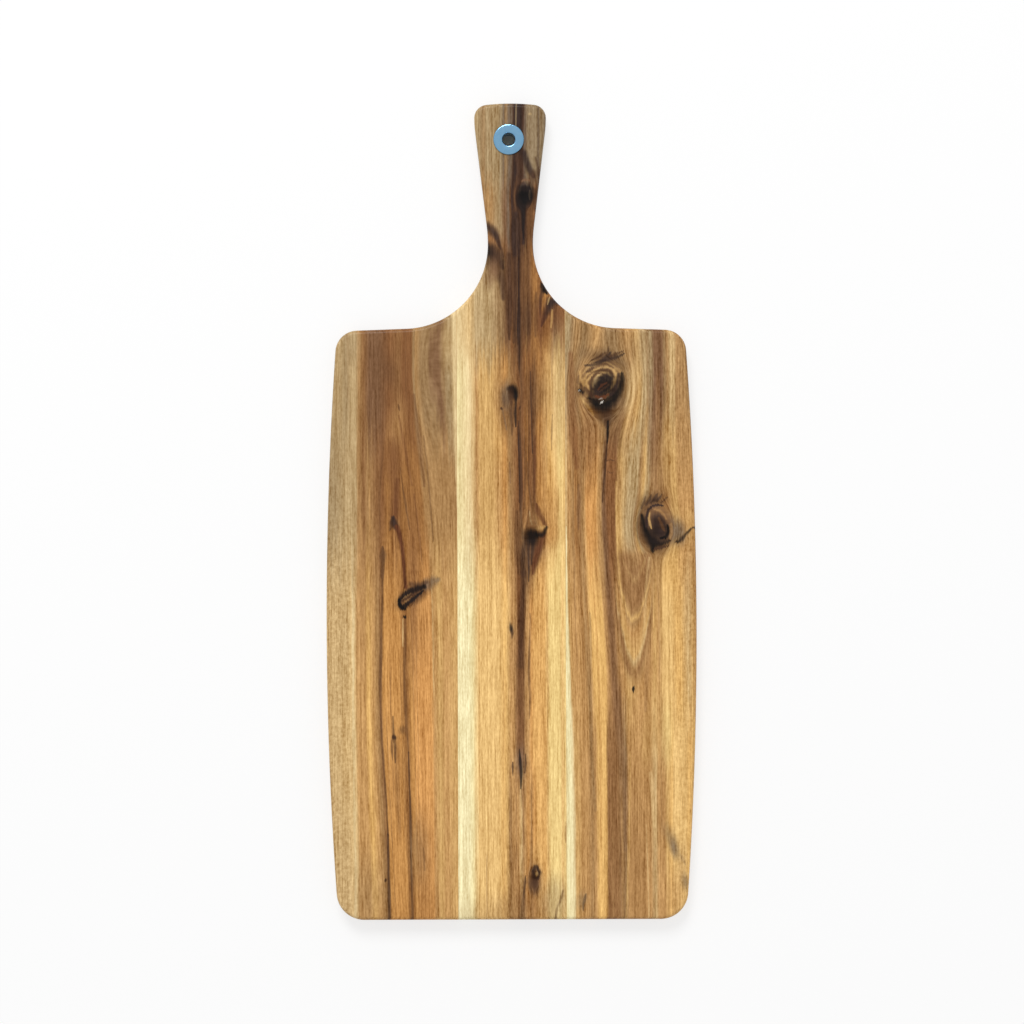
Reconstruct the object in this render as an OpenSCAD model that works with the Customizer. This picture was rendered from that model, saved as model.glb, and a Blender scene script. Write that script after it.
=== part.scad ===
// Paddle board: three edge-glued hardwood staves, with a hanging eyelet in the handle.
// The board lies on its underside at z = 0, with the serving face up and the handle towards +Y.

/* [Board] */
// Width across the widest place of the blade
board_width = 254; // [220:1:300]
// Length of the blade, from the bottom edge up to its shoulders
blade_length = 404; // [340:1:460]
// Length of the handle, from the shoulders to its tip
handle_length = 156; // [140:1:190]
// Thickness of the wood
board_thickness = 15; // [12:0.5:22]
// Radius of the rounded edges on both faces
edge_radius = 3; // [1:0.5:5]

/* [Blade] */
// How far each side bows out between its ends
side_bow = 7.6; // [3:0.1:14]
// Radius of the two bottom corners
bottom_corner_radius = 19; // [8:0.5:30]
// Radius of the two shoulder corners
shoulder_corner_radius = 15; // [8:0.5:24]
// Fall of the shoulders towards the corners, in degrees
shoulder_fall = 2; // [1:0.25:5]
// Radius of the hollow that leads from the shoulders into the neck
shoulder_hollow_radius = 58; // [45:0.5:66]

/* [Handle] */
// Width of the handle at its neck
neck_width = 31; // [26:0.5:40]
// How much further out the handle's end reaches than its neck, on each side
handle_flare = 9.1; // [5:0.1:12]
// Radius of the hollow above the neck
neck_hollow_radius = 103; // [60:1:140]
// Radius of the handle's cheeks below its end corners
cheek_radius = 80; // [50:1:120]
// Radius of the two corners at the handle's end
end_corner_radius = 9; // [6:0.5:13]
// Radius of the crowned end edge
end_crown_radius = 150; // [80:1:300]

/* [Staves] */
// Width of the centre stave, between the two glue lines
centre_stave_width = 74; // [62:0.5:90]
// Thickness of each glue line
glue_thickness = 0.2; // [0.1:0.05:0.4]

/* [Eyelet] */
// Distance from the handle's tip to the middle of the eyelet
eyelet_inset = 25; // [20:0.5:34]
// Distance of the eyelet from the middle of the handle, towards +X
eyelet_offset = -1; // [-3:0.25:3]
// Diameter of the hole that the board hangs by
bore_diameter = 8.8; // [6:0.2:11]
// Thickness of the barrel's wall
barrel_wall = 0.9; // [0.6:0.1:1.4]
// Diameter of the flange on the serving face
flange_diameter = 21; // [17:0.5:26]
// Thickness of the flange
flange_thickness = 1.2; // [0.9:0.1:2]
// Radius of the flange's rounded rim
flange_rim_radius = 0.8; // [0.3:0.1:0.8]
// Radius of the rounded mouths at both ends of the bore
mouth_radius = 0.8; // [0.3:0.1:0.8]
// Diameter of the washer at the back
washer_diameter = 18; // [15.5:0.5:22]
// Thickness of the washer
washer_thickness = 1; // [0.6:0.1:1.6]
// How far the rolled lip reaches out over the washer
lip_reach = 1.6; // [1:0.1:2.2]
// Thickness of the rolled lip
lip_thickness = 0.9; // [0.8:0.1:1.4]
// How far the lip stays inside the underside
lip_recess = 0.4; // [0.2:0.1:1]

/* [Clearances] */
// Gap all round the barrel, in the wood and in the washer
barrel_clearance = 0.1; // [0.05:0.05:0.2]
// Gap all round the washer in its pocket
washer_clearance = 0.3; // [0.1:0.05:0.6]

/* [Hidden] */
$fn = 96;

// How far a cutting shape runs past what it cuts
overrun = 2;
// Steps along each arc of the outline and across each rounded edge
bow_steps = 8;
corner_steps = 9;
hollow_steps = 18;
flank_steps = 4;
crown_steps = 5;
edge_steps = 4;
rim_steps = 6;

board_length = blade_length + handle_length;
bottom_y = -board_length / 2;
tip_y = board_length / 2;
shoulder_y = bottom_y + blade_length;

// The bow of each side is one arc over the whole length of the blade
end_half_width = board_width / 2 - side_bow;
bow_radius = (pow(blade_length / 2, 2) + pow(side_bow, 2)) / (2 * side_bow);
bow_centre = [board_width / 2 - bow_radius, bottom_y + blade_length / 2];

// The bottom corner touches the bottom edge and the side
bottom_corner_y = bottom_y + bottom_corner_radius;
bottom_corner_x = bow_centre.x
    + sqrt(pow(bow_radius - bottom_corner_radius, 2) - pow(bottom_corner_y - bow_centre.y, 2));
bottom_corner_centre = [bottom_corner_x, bottom_corner_y];
bottom_corner_angle = direction(bottom_corner_centre - bow_centre);

// The shoulder corner touches the shoulder line and the side
shoulder_normal = [sin(shoulder_fall), cos(shoulder_fall)];
shoulder_run = [-cos(shoulder_fall), sin(shoulder_fall)];
shoulder_inner_end = [end_half_width, shoulder_y] - shoulder_corner_radius * shoulder_normal;
to_inner_end = shoulder_inner_end - bow_centre;
along_run = to_inner_end * shoulder_run;
corner_reach = pow(bow_radius - shoulder_corner_radius, 2) - to_inner_end * to_inner_end;
shoulder_corner_centre = shoulder_inner_end
    - (along_run + sqrt(along_run * along_run + corner_reach)) * shoulder_run;
shoulder_corner_angle = direction(shoulder_corner_centre - bow_centre);

// The shoulder hollow touches the shoulder line and stands upright at the neck
neck_x = neck_width / 2;
hollow_x = neck_x + shoulder_hollow_radius;
neck_y = shoulder_y + (end_half_width - hollow_x) * tan(shoulder_fall)
    + shoulder_hollow_radius / cos(shoulder_fall);
hollow_centre = [hollow_x, neck_y];

// The end corner touches the crowned end edge and stands upright at the handle's widest place
handle_end_x = neck_x + handle_flare;
crown_centre = [0, tip_y - end_crown_radius];
end_corner_x = handle_end_x - end_corner_radius;
widest_y = crown_centre.y + sqrt(pow(end_crown_radius - end_corner_radius, 2) - pow(end_corner_x, 2));
end_corner_centre = [end_corner_x, widest_y];
crown_angle = direction(end_corner_centre - crown_centre);

// The flank is a straight line that touches the neck hollow and the cheek.
// Both of these shrink together where the handle is too short to hold them.
flank_rise = widest_y - neck_y;
widest_bend = (pow(flank_rise, 2) + pow(handle_flare, 2)) / (2 * handle_flare);
bend_share = min(1, widest_bend / (neck_hollow_radius + cheek_radius));
neck_bend = neck_hollow_radius * bend_share;
cheek_bend = cheek_radius * bend_share;
both_bends = neck_bend + cheek_bend;
bend_base = both_bends - handle_flare;
flank_line = sqrt(max(0, pow(bend_base, 2) + pow(flank_rise, 2) - pow(both_bends, 2)));
flank_angle = atan2(flank_rise, bend_base) - atan2(flank_line, both_bends);
neck_centre = [neck_x + neck_bend, neck_y];
cheek_centre = [handle_end_x - cheek_bend, widest_y];

// Glue lines on both sides of the centre stave
centre_edge_x = centre_stave_width / 2;
side_edge_x = centre_edge_x + glue_thickness;

// Heights of the eyelet's pieces, from the underside up
lip_top_z = lip_recess + lip_thickness;
pocket_depth = lip_top_z + washer_thickness;
flange_top_z = board_thickness + flange_thickness;
bore_radius = bore_diameter / 2;
barrel_radius = bore_radius + barrel_wall;
barrel_hole_radius = barrel_radius + barrel_clearance;
flange_radius = flange_diameter / 2;
lip_radius = barrel_radius + lip_reach;
washer_radius = washer_diameter / 2;
pocket_radius = washer_radius + washer_clearance;
eyelet_centre = [eyelet_offset, tip_y - eyelet_inset];

function direction(v) = atan2(v.y, v.x);
function unit(a) = [cos(a), sin(a)];

// Stops of an arc from one angle to another, each as [point, outward normal].
// The arc of a hollow has its centre outside the wood.
function arc_stops(centre, radius, from, to, steps, hollow = false) =
    [for (i = [0 : steps])
        let (u = unit(from + (to - from) * i / steps))
        [centre + radius * u, hollow ? -u : u]];

// Right half of the outline, from the bottom edge to the tip
half_outline = [
    each arc_stops(bottom_corner_centre, bottom_corner_radius, -90, bottom_corner_angle, corner_steps),
    each skip_first(arc_stops(bow_centre, bow_radius, bottom_corner_angle, 0, bow_steps)),
    each skip_first(arc_stops(bow_centre, bow_radius, 0, shoulder_corner_angle, bow_steps)),
    each skip_first(arc_stops(shoulder_corner_centre, shoulder_corner_radius,
        shoulder_corner_angle, 90 - shoulder_fall, corner_steps)),
    each arc_stops(hollow_centre, shoulder_hollow_radius, -90 - shoulder_fall, -180, hollow_steps, true),
    each skip_first(arc_stops(neck_centre, neck_bend, 180, 180 - flank_angle, flank_steps, true)),
    each arc_stops(cheek_centre, cheek_bend, -flank_angle, 0, flank_steps),
    each skip_first(arc_stops(end_corner_centre, end_corner_radius, 0, crown_angle, corner_steps)),
    each skip_first(arc_stops(crown_centre, end_crown_radius, crown_angle, 90, crown_steps)),
];
half_count = len(half_outline);
// The tip is on the middle line, so the left half leaves it out
ring_count = 2 * half_count - 1;

function skip_first(list) = [for (i = [1 : len(list) - 1]) list[i]];

// The rounded edges as [inset, height] pairs, from the underside to the serving face
edge_profile = [
    for (i = [0 : edge_steps])
        let (a = 90 * i / edge_steps)
        edge_radius * [1 - sin(a), 1 - cos(a)],
    for (i = [0 : edge_steps])
        let (a = 90 * i / edge_steps)
        [edge_radius * (1 - cos(a)), board_thickness - edge_radius * (1 - sin(a))],
];
level_count = len(edge_profile);

function inset_point(stop, level) =
    let (p = stop[0] - edge_profile[level].x * stop[1])
    [p.x, p.y, edge_profile[level].y];

// One closed ring of points: up the right half, over the tip and down the left half
function level_ring(level) = [
    for (i = [0 : half_count - 1]) inset_point(half_outline[i], level),
    for (i = [half_count - 2 : -1 : 0])
        let (p = inset_point(half_outline[i], level))
        [-p.x, p.y, p.z],
];

function ring_index(level, i) = level * ring_count + i % ring_count;
// The point on the left half that mirrors point i of the right half
function mirror_index(level, i) = ring_index(level, ring_count - 1 - i);

blank_points = [for (level = [0 : level_count - 1]) each level_ring(level)];
blank_walls = [
    for (level = [0 : level_count - 2], i = [0 : ring_count - 1])
        [ring_index(level, i), ring_index(level + 1, i),
         ring_index(level + 1, i + 1), ring_index(level, i + 1)],
];
// Both faces are ladders of strips between the two halves, closed by a triangle at the tip
last = half_count - 1;
top = level_count - 1;
blank_underside = [
    for (i = [0 : half_count - 3])
        [ring_index(0, i), ring_index(0, i + 1), mirror_index(0, i + 1), mirror_index(0, i)],
    [ring_index(0, last - 1), ring_index(0, last), mirror_index(0, last - 1)],
];
blank_serving_face = [
    for (i = [0 : half_count - 3])
        [mirror_index(top, i), mirror_index(top, i + 1), ring_index(top, i + 1), ring_index(top, i)],
    [mirror_index(top, last - 1), ring_index(top, last), ring_index(top, last - 1)],
];

// The whole paddle in one piece, with both rounded edges
module board_blank() {
    polyhedron(blank_points, concat(blank_walls, blank_underside, blank_serving_face));
}

// The stretch of the blank between two upright planes
module blank_between(from_x, to_x) {
    intersection() {
        board_blank();
        translate([from_x, bottom_y - overrun, -overrun])
            cube([to_x - from_x, board_length + 2 * overrun, board_thickness + 2 * overrun]);
    }
}

module eyelet_hole() {
    translate([eyelet_centre.x, eyelet_centre.y, -overrun])
        cylinder(r = barrel_hole_radius, h = board_thickness + 2 * overrun);
    translate([eyelet_centre.x, eyelet_centre.y, -overrun])
        cylinder(r = pocket_radius, h = pocket_depth + overrun);
}

function round_corner(centre, radius, from) =
    [for (i = [0 : rim_steps]) centre + radius * unit(from + 90 * i / rim_steps)];

module left_stave() {
    color("peru")
        blank_between(-board_width / 2 - overrun, -side_edge_x);
}

module centre_stave() {
    color("burlywood")
        difference() {
            blank_between(-centre_edge_x, centre_edge_x);
            eyelet_hole();
        }
}

module right_stave() {
    color("sandybrown")
        blank_between(side_edge_x, board_width / 2 + overrun);
}

module left_glue_line() {
    color("sienna")
        blank_between(-side_edge_x, -centre_edge_x);
}

module right_glue_line() {
    color("sienna")
        blank_between(centre_edge_x, side_edge_x);
}

module eyelet() {
    outer_rim = [flange_radius - flange_rim_radius, flange_top_z - flange_rim_radius];
    upper_mouth = [bore_radius + mouth_radius, flange_top_z - mouth_radius];
    lower_mouth = [bore_radius + mouth_radius, lip_recess + mouth_radius];
    lip_rim_radius = min(mouth_radius, lip_thickness, lip_reach);
    lip_rim = [lip_radius - lip_rim_radius, lip_recess + lip_rim_radius];
    color("lightsteelblue")
        translate(eyelet_centre)
            rotate_extrude()
                polygon([
                    each round_corner(lower_mouth, mouth_radius, 180),
                    each round_corner(lip_rim, lip_rim_radius, 270),
                    [lip_radius, lip_top_z],
                    [barrel_radius, lip_top_z],
                    [barrel_radius, board_thickness],
                    [flange_radius, board_thickness],
                    each round_corner(outer_rim, flange_rim_radius, 0),
                    each round_corner(upper_mouth, mouth_radius, 90),
                ]);
}

module eyelet_washer() {
    hole_radius = barrel_radius + barrel_clearance;
    rim_radius = washer_thickness / 2;
    rim = [washer_radius - rim_radius, lip_top_z + rim_radius];
    color("lightsteelblue")
        translate(eyelet_centre)
            rotate_extrude()
                polygon([
                    [hole_radius, lip_top_z],
                    each round_corner(rim, rim_radius, 270),
                    [washer_radius, pocket_depth],
                    [hole_radius, pocket_depth],
                ]);
}

left_stave();
centre_stave();
right_stave();
left_glue_line();
right_glue_line();
eyelet();
eyelet_washer();
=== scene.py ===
import math
from collections import namedtuple

import bpy
import numpy as np
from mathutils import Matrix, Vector
from mathutils.geometry import delaunay_2d_cdt


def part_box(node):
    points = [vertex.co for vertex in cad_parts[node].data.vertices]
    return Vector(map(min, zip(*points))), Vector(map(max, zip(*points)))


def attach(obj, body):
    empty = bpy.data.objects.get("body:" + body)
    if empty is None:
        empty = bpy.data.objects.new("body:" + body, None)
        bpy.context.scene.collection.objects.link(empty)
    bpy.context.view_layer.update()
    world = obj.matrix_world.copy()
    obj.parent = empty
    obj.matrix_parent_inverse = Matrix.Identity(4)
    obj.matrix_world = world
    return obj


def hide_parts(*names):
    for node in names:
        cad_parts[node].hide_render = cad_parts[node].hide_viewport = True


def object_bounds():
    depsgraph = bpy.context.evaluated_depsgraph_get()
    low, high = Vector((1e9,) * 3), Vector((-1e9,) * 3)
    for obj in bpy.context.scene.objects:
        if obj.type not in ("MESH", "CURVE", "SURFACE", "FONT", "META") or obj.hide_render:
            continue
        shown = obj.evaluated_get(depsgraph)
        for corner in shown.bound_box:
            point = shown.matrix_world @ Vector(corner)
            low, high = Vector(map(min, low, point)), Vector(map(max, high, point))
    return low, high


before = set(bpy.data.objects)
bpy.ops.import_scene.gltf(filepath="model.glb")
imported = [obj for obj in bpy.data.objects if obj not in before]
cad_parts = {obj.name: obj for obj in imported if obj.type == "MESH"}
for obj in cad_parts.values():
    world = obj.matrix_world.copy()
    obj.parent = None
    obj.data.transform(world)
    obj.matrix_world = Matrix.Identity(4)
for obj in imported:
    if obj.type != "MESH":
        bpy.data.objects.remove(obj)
cad_low, cad_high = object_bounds()

# Sizes of the board, in metres, as the frame gives them
MM = 0.001
PER_MM = 1.0 / MM
left_low, left_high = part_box("left_stave")
centre_low, centre_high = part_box("centre_stave")
right_low, right_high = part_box("right_stave")
eyelet_low, eyelet_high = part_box("eyelet")
washer_low, washer_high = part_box("eyelet_washer")
BOARD_WIDTH = right_high.x - left_low.x
THICKNESS = centre_high.z - centre_low.z
BOTTOM_Y = centre_low.y
TIP_Y = centre_high.y
EYELET_CENTRE = (eyelet_low + eyelet_high) / 2

# Sizes of the outline
BLADE_LENGTH = 404 * MM
EDGE_RADIUS = 3 * MM
SIDE_BOW = 7.6 * MM
BOTTOM_CORNER = 19 * MM
SHOULDER_CORNER = 15 * MM
SHOULDER_FALL = math.radians(2)
SHOULDER_HOLLOW = 58 * MM
NECK_HALF_WIDTH = 15.5 * MM
HANDLE_FLARE = 9.1 * MM
NECK_HOLLOW = 103 * MM
CHEEK = 80 * MM
END_CORNER = 9 * MM
END_CROWN = 150 * MM

# Sizes of the eyelet and of the hole that holds it
BORE_RADIUS = 4.4 * MM
BARREL_WALL = 0.9 * MM
RIM_RADIUS = 0.8 * MM
FLANGE_RADIUS = (eyelet_high.x - eyelet_low.x) / 2
LIP_RADIUS = 6.9 * MM
LIP_THICKNESS = 0.9 * MM
BARREL_CLEARANCE = 0.1 * MM
WASHER_CLEARANCE = 0.3 * MM
BARREL_RADIUS = BORE_RADIUS + BARREL_WALL
HOLE_RADIUS = BARREL_RADIUS + BARREL_CLEARANCE
WASHER_RADIUS = (washer_high.x - washer_low.x) / 2
POCKET_RADIUS = WASHER_RADIUS + WASHER_CLEARANCE
POCKET_DEPTH = washer_high.z - centre_low.z
POCKET_DRAFT = 0.12 * MM

# Fineness of the meshes
OUTLINE_SPACING = 2.0 * MM
FACE_SPACING = 3.0 * MM
HOLLOW_SPACING = 0.9 * MM
EDGE_STEPS = 7
RIM_STEPS = 8
HOLE_STEPS = 72
TURNING_STEPS = 144
CLEAR_OF_RIM = FACE_SPACING / 3
CLEAR_OF_CUT = FACE_SPACING / 4
RING_CLEAR_OF_CUT = OUTLINE_SPACING / 4
HOLLOW_CLEAR_OF_CUT = HOLLOW_SPACING / 2
SHARP_CREASE = math.radians(40)
WELD = 0.002 * MM
TOUCHING = 1e-9
STOP_DECIMALS = 7


# Outline of the paddle

def unit(angle):
    return np.array([math.cos(angle), math.sin(angle)])


def direction(vector):
    return math.atan2(vector[1], vector[0])


def arc(centre, radius, start, end, hollow=False):
    """Points of an arc, each with the outline's outward normal. A hollow has its centre outside the wood."""
    steps = max(2, math.ceil(radius * abs(end - start) / OUTLINE_SPACING))
    side = -1 if hollow else 1
    angles = [start + (end - start) * i / steps for i in range(steps + 1)]
    return [(np.array(centre) + radius * unit(a), side * unit(a)) for a in angles]


def straight(start, end, normal):
    """Points between two ends of a straight edge, without the ends."""
    span = np.array(end) - np.array(start)
    steps = max(1, math.ceil(np.linalg.norm(span) / OUTLINE_SPACING))
    return [(np.array(start) + span * i / steps, np.array(normal)) for i in range(1, steps)]


def half_outline():
    """The right half of the outline, from the middle of the bottom edge to the tip."""
    quarter = math.pi / 2
    shoulder_y = BOTTOM_Y + BLADE_LENGTH
    end_half_width = BOARD_WIDTH / 2 - SIDE_BOW
    bow_radius = ((BLADE_LENGTH / 2) ** 2 + SIDE_BOW ** 2) / (2 * SIDE_BOW)
    bow = np.array([BOARD_WIDTH / 2 - bow_radius, BOTTOM_Y + BLADE_LENGTH / 2])

    corner_y = BOTTOM_Y + BOTTOM_CORNER
    corner_x = bow[0] + math.sqrt((bow_radius - BOTTOM_CORNER) ** 2 - (corner_y - bow[1]) ** 2)
    bottom_corner = np.array([corner_x, corner_y])
    bottom_angle = direction(bottom_corner - bow)

    shoulder_normal = np.array([math.sin(SHOULDER_FALL), math.cos(SHOULDER_FALL)])
    shoulder_run = np.array([-math.cos(SHOULDER_FALL), math.sin(SHOULDER_FALL)])
    inner_end = np.array([end_half_width, shoulder_y]) - SHOULDER_CORNER * shoulder_normal
    along_run = (inner_end - bow) @ shoulder_run
    reach = (bow_radius - SHOULDER_CORNER) ** 2 - (inner_end - bow) @ (inner_end - bow)
    shoulder_corner = inner_end - (along_run + math.sqrt(along_run ** 2 + reach)) * shoulder_run
    shoulder_angle = direction(shoulder_corner - bow)

    hollow_x = NECK_HALF_WIDTH + SHOULDER_HOLLOW
    neck_y = shoulder_y + (end_half_width - hollow_x) * math.tan(SHOULDER_FALL)
    neck_y += SHOULDER_HOLLOW / math.cos(SHOULDER_FALL)
    hollow = np.array([hollow_x, neck_y])

    handle_end_x = NECK_HALF_WIDTH + HANDLE_FLARE
    crown = np.array([0, TIP_Y - END_CROWN])
    end_x = handle_end_x - END_CORNER
    widest_y = crown[1] + math.sqrt((END_CROWN - END_CORNER) ** 2 - end_x ** 2)
    end_corner = np.array([end_x, widest_y])
    crown_angle = direction(end_corner - crown)

    rise = widest_y - neck_y
    both_bends = NECK_HOLLOW + CHEEK
    base = both_bends - HANDLE_FLARE
    flank = math.sqrt(base ** 2 + rise ** 2 - both_bends ** 2)
    flank_angle = math.atan2(rise, base) - math.atan2(flank, both_bends)
    neck = np.array([NECK_HALF_WIDTH + NECK_HOLLOW, neck_y])
    cheek = np.array([handle_end_x - CHEEK, widest_y])

    bottom_arc = arc(bottom_corner, BOTTOM_CORNER, -quarter, bottom_angle)
    side_arc = arc(bow, bow_radius, bottom_angle, shoulder_angle)
    shoulder_arc = arc(shoulder_corner, SHOULDER_CORNER, shoulder_angle, quarter - SHOULDER_FALL)
    hollow_arc = arc(hollow, SHOULDER_HOLLOW, -quarter - SHOULDER_FALL, -2 * quarter, True)
    neck_arc = arc(neck, NECK_HOLLOW, 2 * quarter, 2 * quarter - flank_angle, True)
    cheek_arc = arc(cheek, CHEEK, -flank_angle, 0)
    end_arc = arc(end_corner, END_CORNER, 0, crown_angle)
    crown_arc = arc(crown, END_CROWN, crown_angle, quarter)
    bottom_middle = (np.array([0, BOTTOM_Y]), np.array([0, -1]))
    return [
        bottom_middle,
        *straight(bottom_middle[0], bottom_arc[0][0], (0, -1)),
        *bottom_arc,
        *side_arc[1:],
        *shoulder_arc[1:],
        *straight(shoulder_arc[-1][0], hollow_arc[0][0], shoulder_normal),
        *hollow_arc,
        *neck_arc[1:],
        *straight(neck_arc[-1][0], cheek_arc[0][0], cheek_arc[0][1]),
        *cheek_arc,
        *end_arc[1:],
        *crown_arc[1:],
    ]


def whole_outline():
    """Points and normals of the closed outline, up the right side and down the left one."""
    right = half_outline()
    flip = np.array([-1, 1])
    left = [(point * flip, normal * flip) for point, normal in right[-2:0:-1]]
    stops = right + left
    points = np.array([point for point, normal in stops])
    normals = np.array([normal for point, normal in stops])
    return points, normals


OUTLINE, OUTLINE_NORMALS = whole_outline()


def from_edge(points):
    """Distance of each point from the board's outline."""
    start = OUTLINE
    span = np.roll(OUTLINE, -1, axis=0) - start
    nearest = np.full(len(points), np.inf)
    for origin, run in zip(start, span):
        share = np.clip(((points - origin) @ run) / (run @ run), 0, 1)
        away = points - origin - share[:, None] * run
        nearest = np.minimum(nearest, np.hypot(away[:, 0], away[:, 1]))
    return nearest


def inside(points, loop):
    """Which points lie inside a closed loop."""
    crossings = np.zeros(len(points), int)
    x, y = points[:, 0], points[:, 1]
    for (x0, y0), (x1, y1) in zip(loop, np.roll(loop, -1, axis=0)):
        if y0 == y1:
            continue
        spans = (y0 > y) != (y1 > y)
        crossings += spans & (x < x0 + (y - y0) * (x1 - x0) / (y1 - y0))
    return crossings % 2 == 1


def cut_loop(loop, cut_x, side):
    """The part of a loop that lies to one side of an upright cut: side is 1 to keep what is right of it."""
    kept = []
    for here, after in zip(loop, np.roll(loop, -1, axis=0)):
        here_in = side * (here[0] - cut_x) >= 0
        after_in = side * (after[0] - cut_x) >= 0
        if here_in:
            kept.append(here)
        if here_in != after_in:
            share = (cut_x - here[0]) / (after[0] - here[0])
            kept.append(here + share * (after - here))
    return np.array(kept)


# Flat plan of a stave, which its solid is raised from

def ring_insets():
    """How far each ring of the rounded edge lies inside the outline."""
    turns = [math.pi / 2 * i / EDGE_STEPS for i in range(1, EDGE_STEPS + 1)]
    return [EDGE_RADIUS * (1 - math.cos(turn)) for turn in turns]


def filled_cuts(loop, cuts):
    """Adds points along the straight cuts of a loop, also where the rings of the rounded edge meet them."""
    insets = np.array(ring_insets())
    filled = []
    for here, after in zip(loop, np.roll(loop, -1, axis=0)):
        filled.append(here)
        if not any(abs(here[0] - cut) < TOUCHING and abs(after[0] - cut) < TOUCHING for cut in cuts):
            continue
        length = np.linalg.norm(after - here)
        inner = np.linspace(EDGE_RADIUS, length - EDGE_RADIUS, math.ceil(length / FACE_SPACING))
        stops = np.unique(np.round(np.concatenate([insets, inner, length - insets]), STOP_DECIMALS))
        filled.extend(here + (after - here) * stop / length for stop in stops)
    return np.array(filled)


def stave_plan(name, low_x, high_x, hollows, hole=None):
    """Flat triangles of the stave's plan, with each point's distance from the outline and hollow depth."""
    loop = OUTLINE
    cuts = []
    if low_x > cad_low.x:
        loop = cut_loop(loop, low_x, 1)
        cuts.append(low_x)
    if high_x < cad_high.x:
        loop = cut_loop(loop, high_x, -1)
        cuts.append(high_x)
    loop = filled_cuts(loop, cuts)

    def clear_of_cuts(points, gap):
        return np.all([np.abs(points[:, 0] - cut) > gap for cut in cuts], axis=0)

    within = (OUTLINE[:, 0] > low_x) & (OUTLINE[:, 0] < high_x)
    rings = [(OUTLINE - inset * OUTLINE_NORMALS)[within] for inset in ring_insets()]
    rings = np.concatenate(rings)
    rings = rings[(rings[:, 0] > low_x) & (rings[:, 0] < high_x)]
    rings = rings[clear_of_cuts(rings, RING_CLEAR_OF_CUT)]

    columns = np.linspace(low_x, high_x, math.ceil((high_x - low_x) / FACE_SPACING) + 1)
    rows = np.arange(BOTTOM_Y, TIP_Y, FACE_SPACING)
    grid = np.array([(x, y) for x in columns for y in rows])
    grid = grid[inside(grid, loop) & clear_of_cuts(grid, CLEAR_OF_CUT)]
    grid = grid[from_edge(grid) > EDGE_RADIUS + CLEAR_OF_RIM]
    for hollow in hollows:
        away = np.hypot(*(grid - np.array(hollow.place) * MM).T)
        grid = grid[away > hollow.radius * MM]
        steps = np.arange(-hollow.radius * MM, hollow.radius * MM, HOLLOW_SPACING)
        fine = np.array([(x, y) for x in steps for y in steps])
        fine = fine[np.hypot(*fine.T) < hollow.radius * MM] + np.array(hollow.place) * MM
        fine = fine[inside(fine, loop)]
        fine = fine[from_edge(fine) > EDGE_RADIUS + HOLLOW_SPACING]
        fine = fine[clear_of_cuts(fine, HOLLOW_CLEAR_OF_CUT)]
        grid = np.concatenate([grid, fine])

    count = len(loop)
    edges = [(i, (i + 1) % count) for i in range(count)]
    points = [loop, rings, grid]
    if hole is not None:
        centre = np.array(hole)
        circles = [HOLE_RADIUS, POCKET_RADIUS, POCKET_RADIUS + POCKET_DRAFT]
        keep = np.hypot(*(grid - centre).T) > circles[-1] + CLEAR_OF_RIM
        points = [loop, rings, grid[keep]]
        at = sum(len(part) for part in points)
        for radius in circles:
            turns = [2 * math.pi * i / HOLE_STEPS for i in range(HOLE_STEPS)]
            points.append(np.array([centre + radius * unit(turn) for turn in turns]))
            edges.extend((at + i, at + (i + 1) % HOLE_STEPS) for i in range(HOLE_STEPS))
            at += HOLE_STEPS

    points = np.concatenate(points)
    found = delaunay_2d_cdt([Vector(point) for point in points], edges, [], 0, TOUCHING)
    spots = np.array([tuple(point) for point in found[0]])
    faces = np.array([tuple(face) for face in found[2]])
    middles = spots[faces].mean(axis=1)
    kept = inside(middles, loop)
    if hole is not None:
        kept &= np.hypot(*(middles - np.array(hole)).T) > HOLE_RADIUS
    mesh = bpy.data.meshes.new(name)
    mesh.from_pydata([(x, y, 0) for x, y in spots], [], faces[kept].tolist())
    mesh.attributes.new("from_edge", "FLOAT", "POINT").data.foreach_set("value", from_edge(spots))
    mesh.attributes.new("hollow", "FLOAT", "POINT").data.foreach_set("value", hollow_depth(spots, hollows))
    return mesh


Hollow = namedtuple("Hollow", "place radius half_size turn depth")


def hollow_depth(points, hollows):
    """Depth of the sunk knots below the serving face."""
    depth = np.zeros(len(points))
    for hollow in hollows:
        away = (points - np.array(hollow.place) * MM) * PER_MM
        turn = math.radians(hollow.turn)
        across = away[:, 0] * math.cos(turn) + away[:, 1] * math.sin(turn)
        along = away[:, 1] * math.cos(turn) - away[:, 0] * math.sin(turn)
        bowl = np.exp(-(across / hollow.half_size[0]) ** 2 - (along / hollow.half_size[1]) ** 2)
        depth = np.maximum(depth, hollow.depth * MM * bowl)
    return depth


# Node trees

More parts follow.
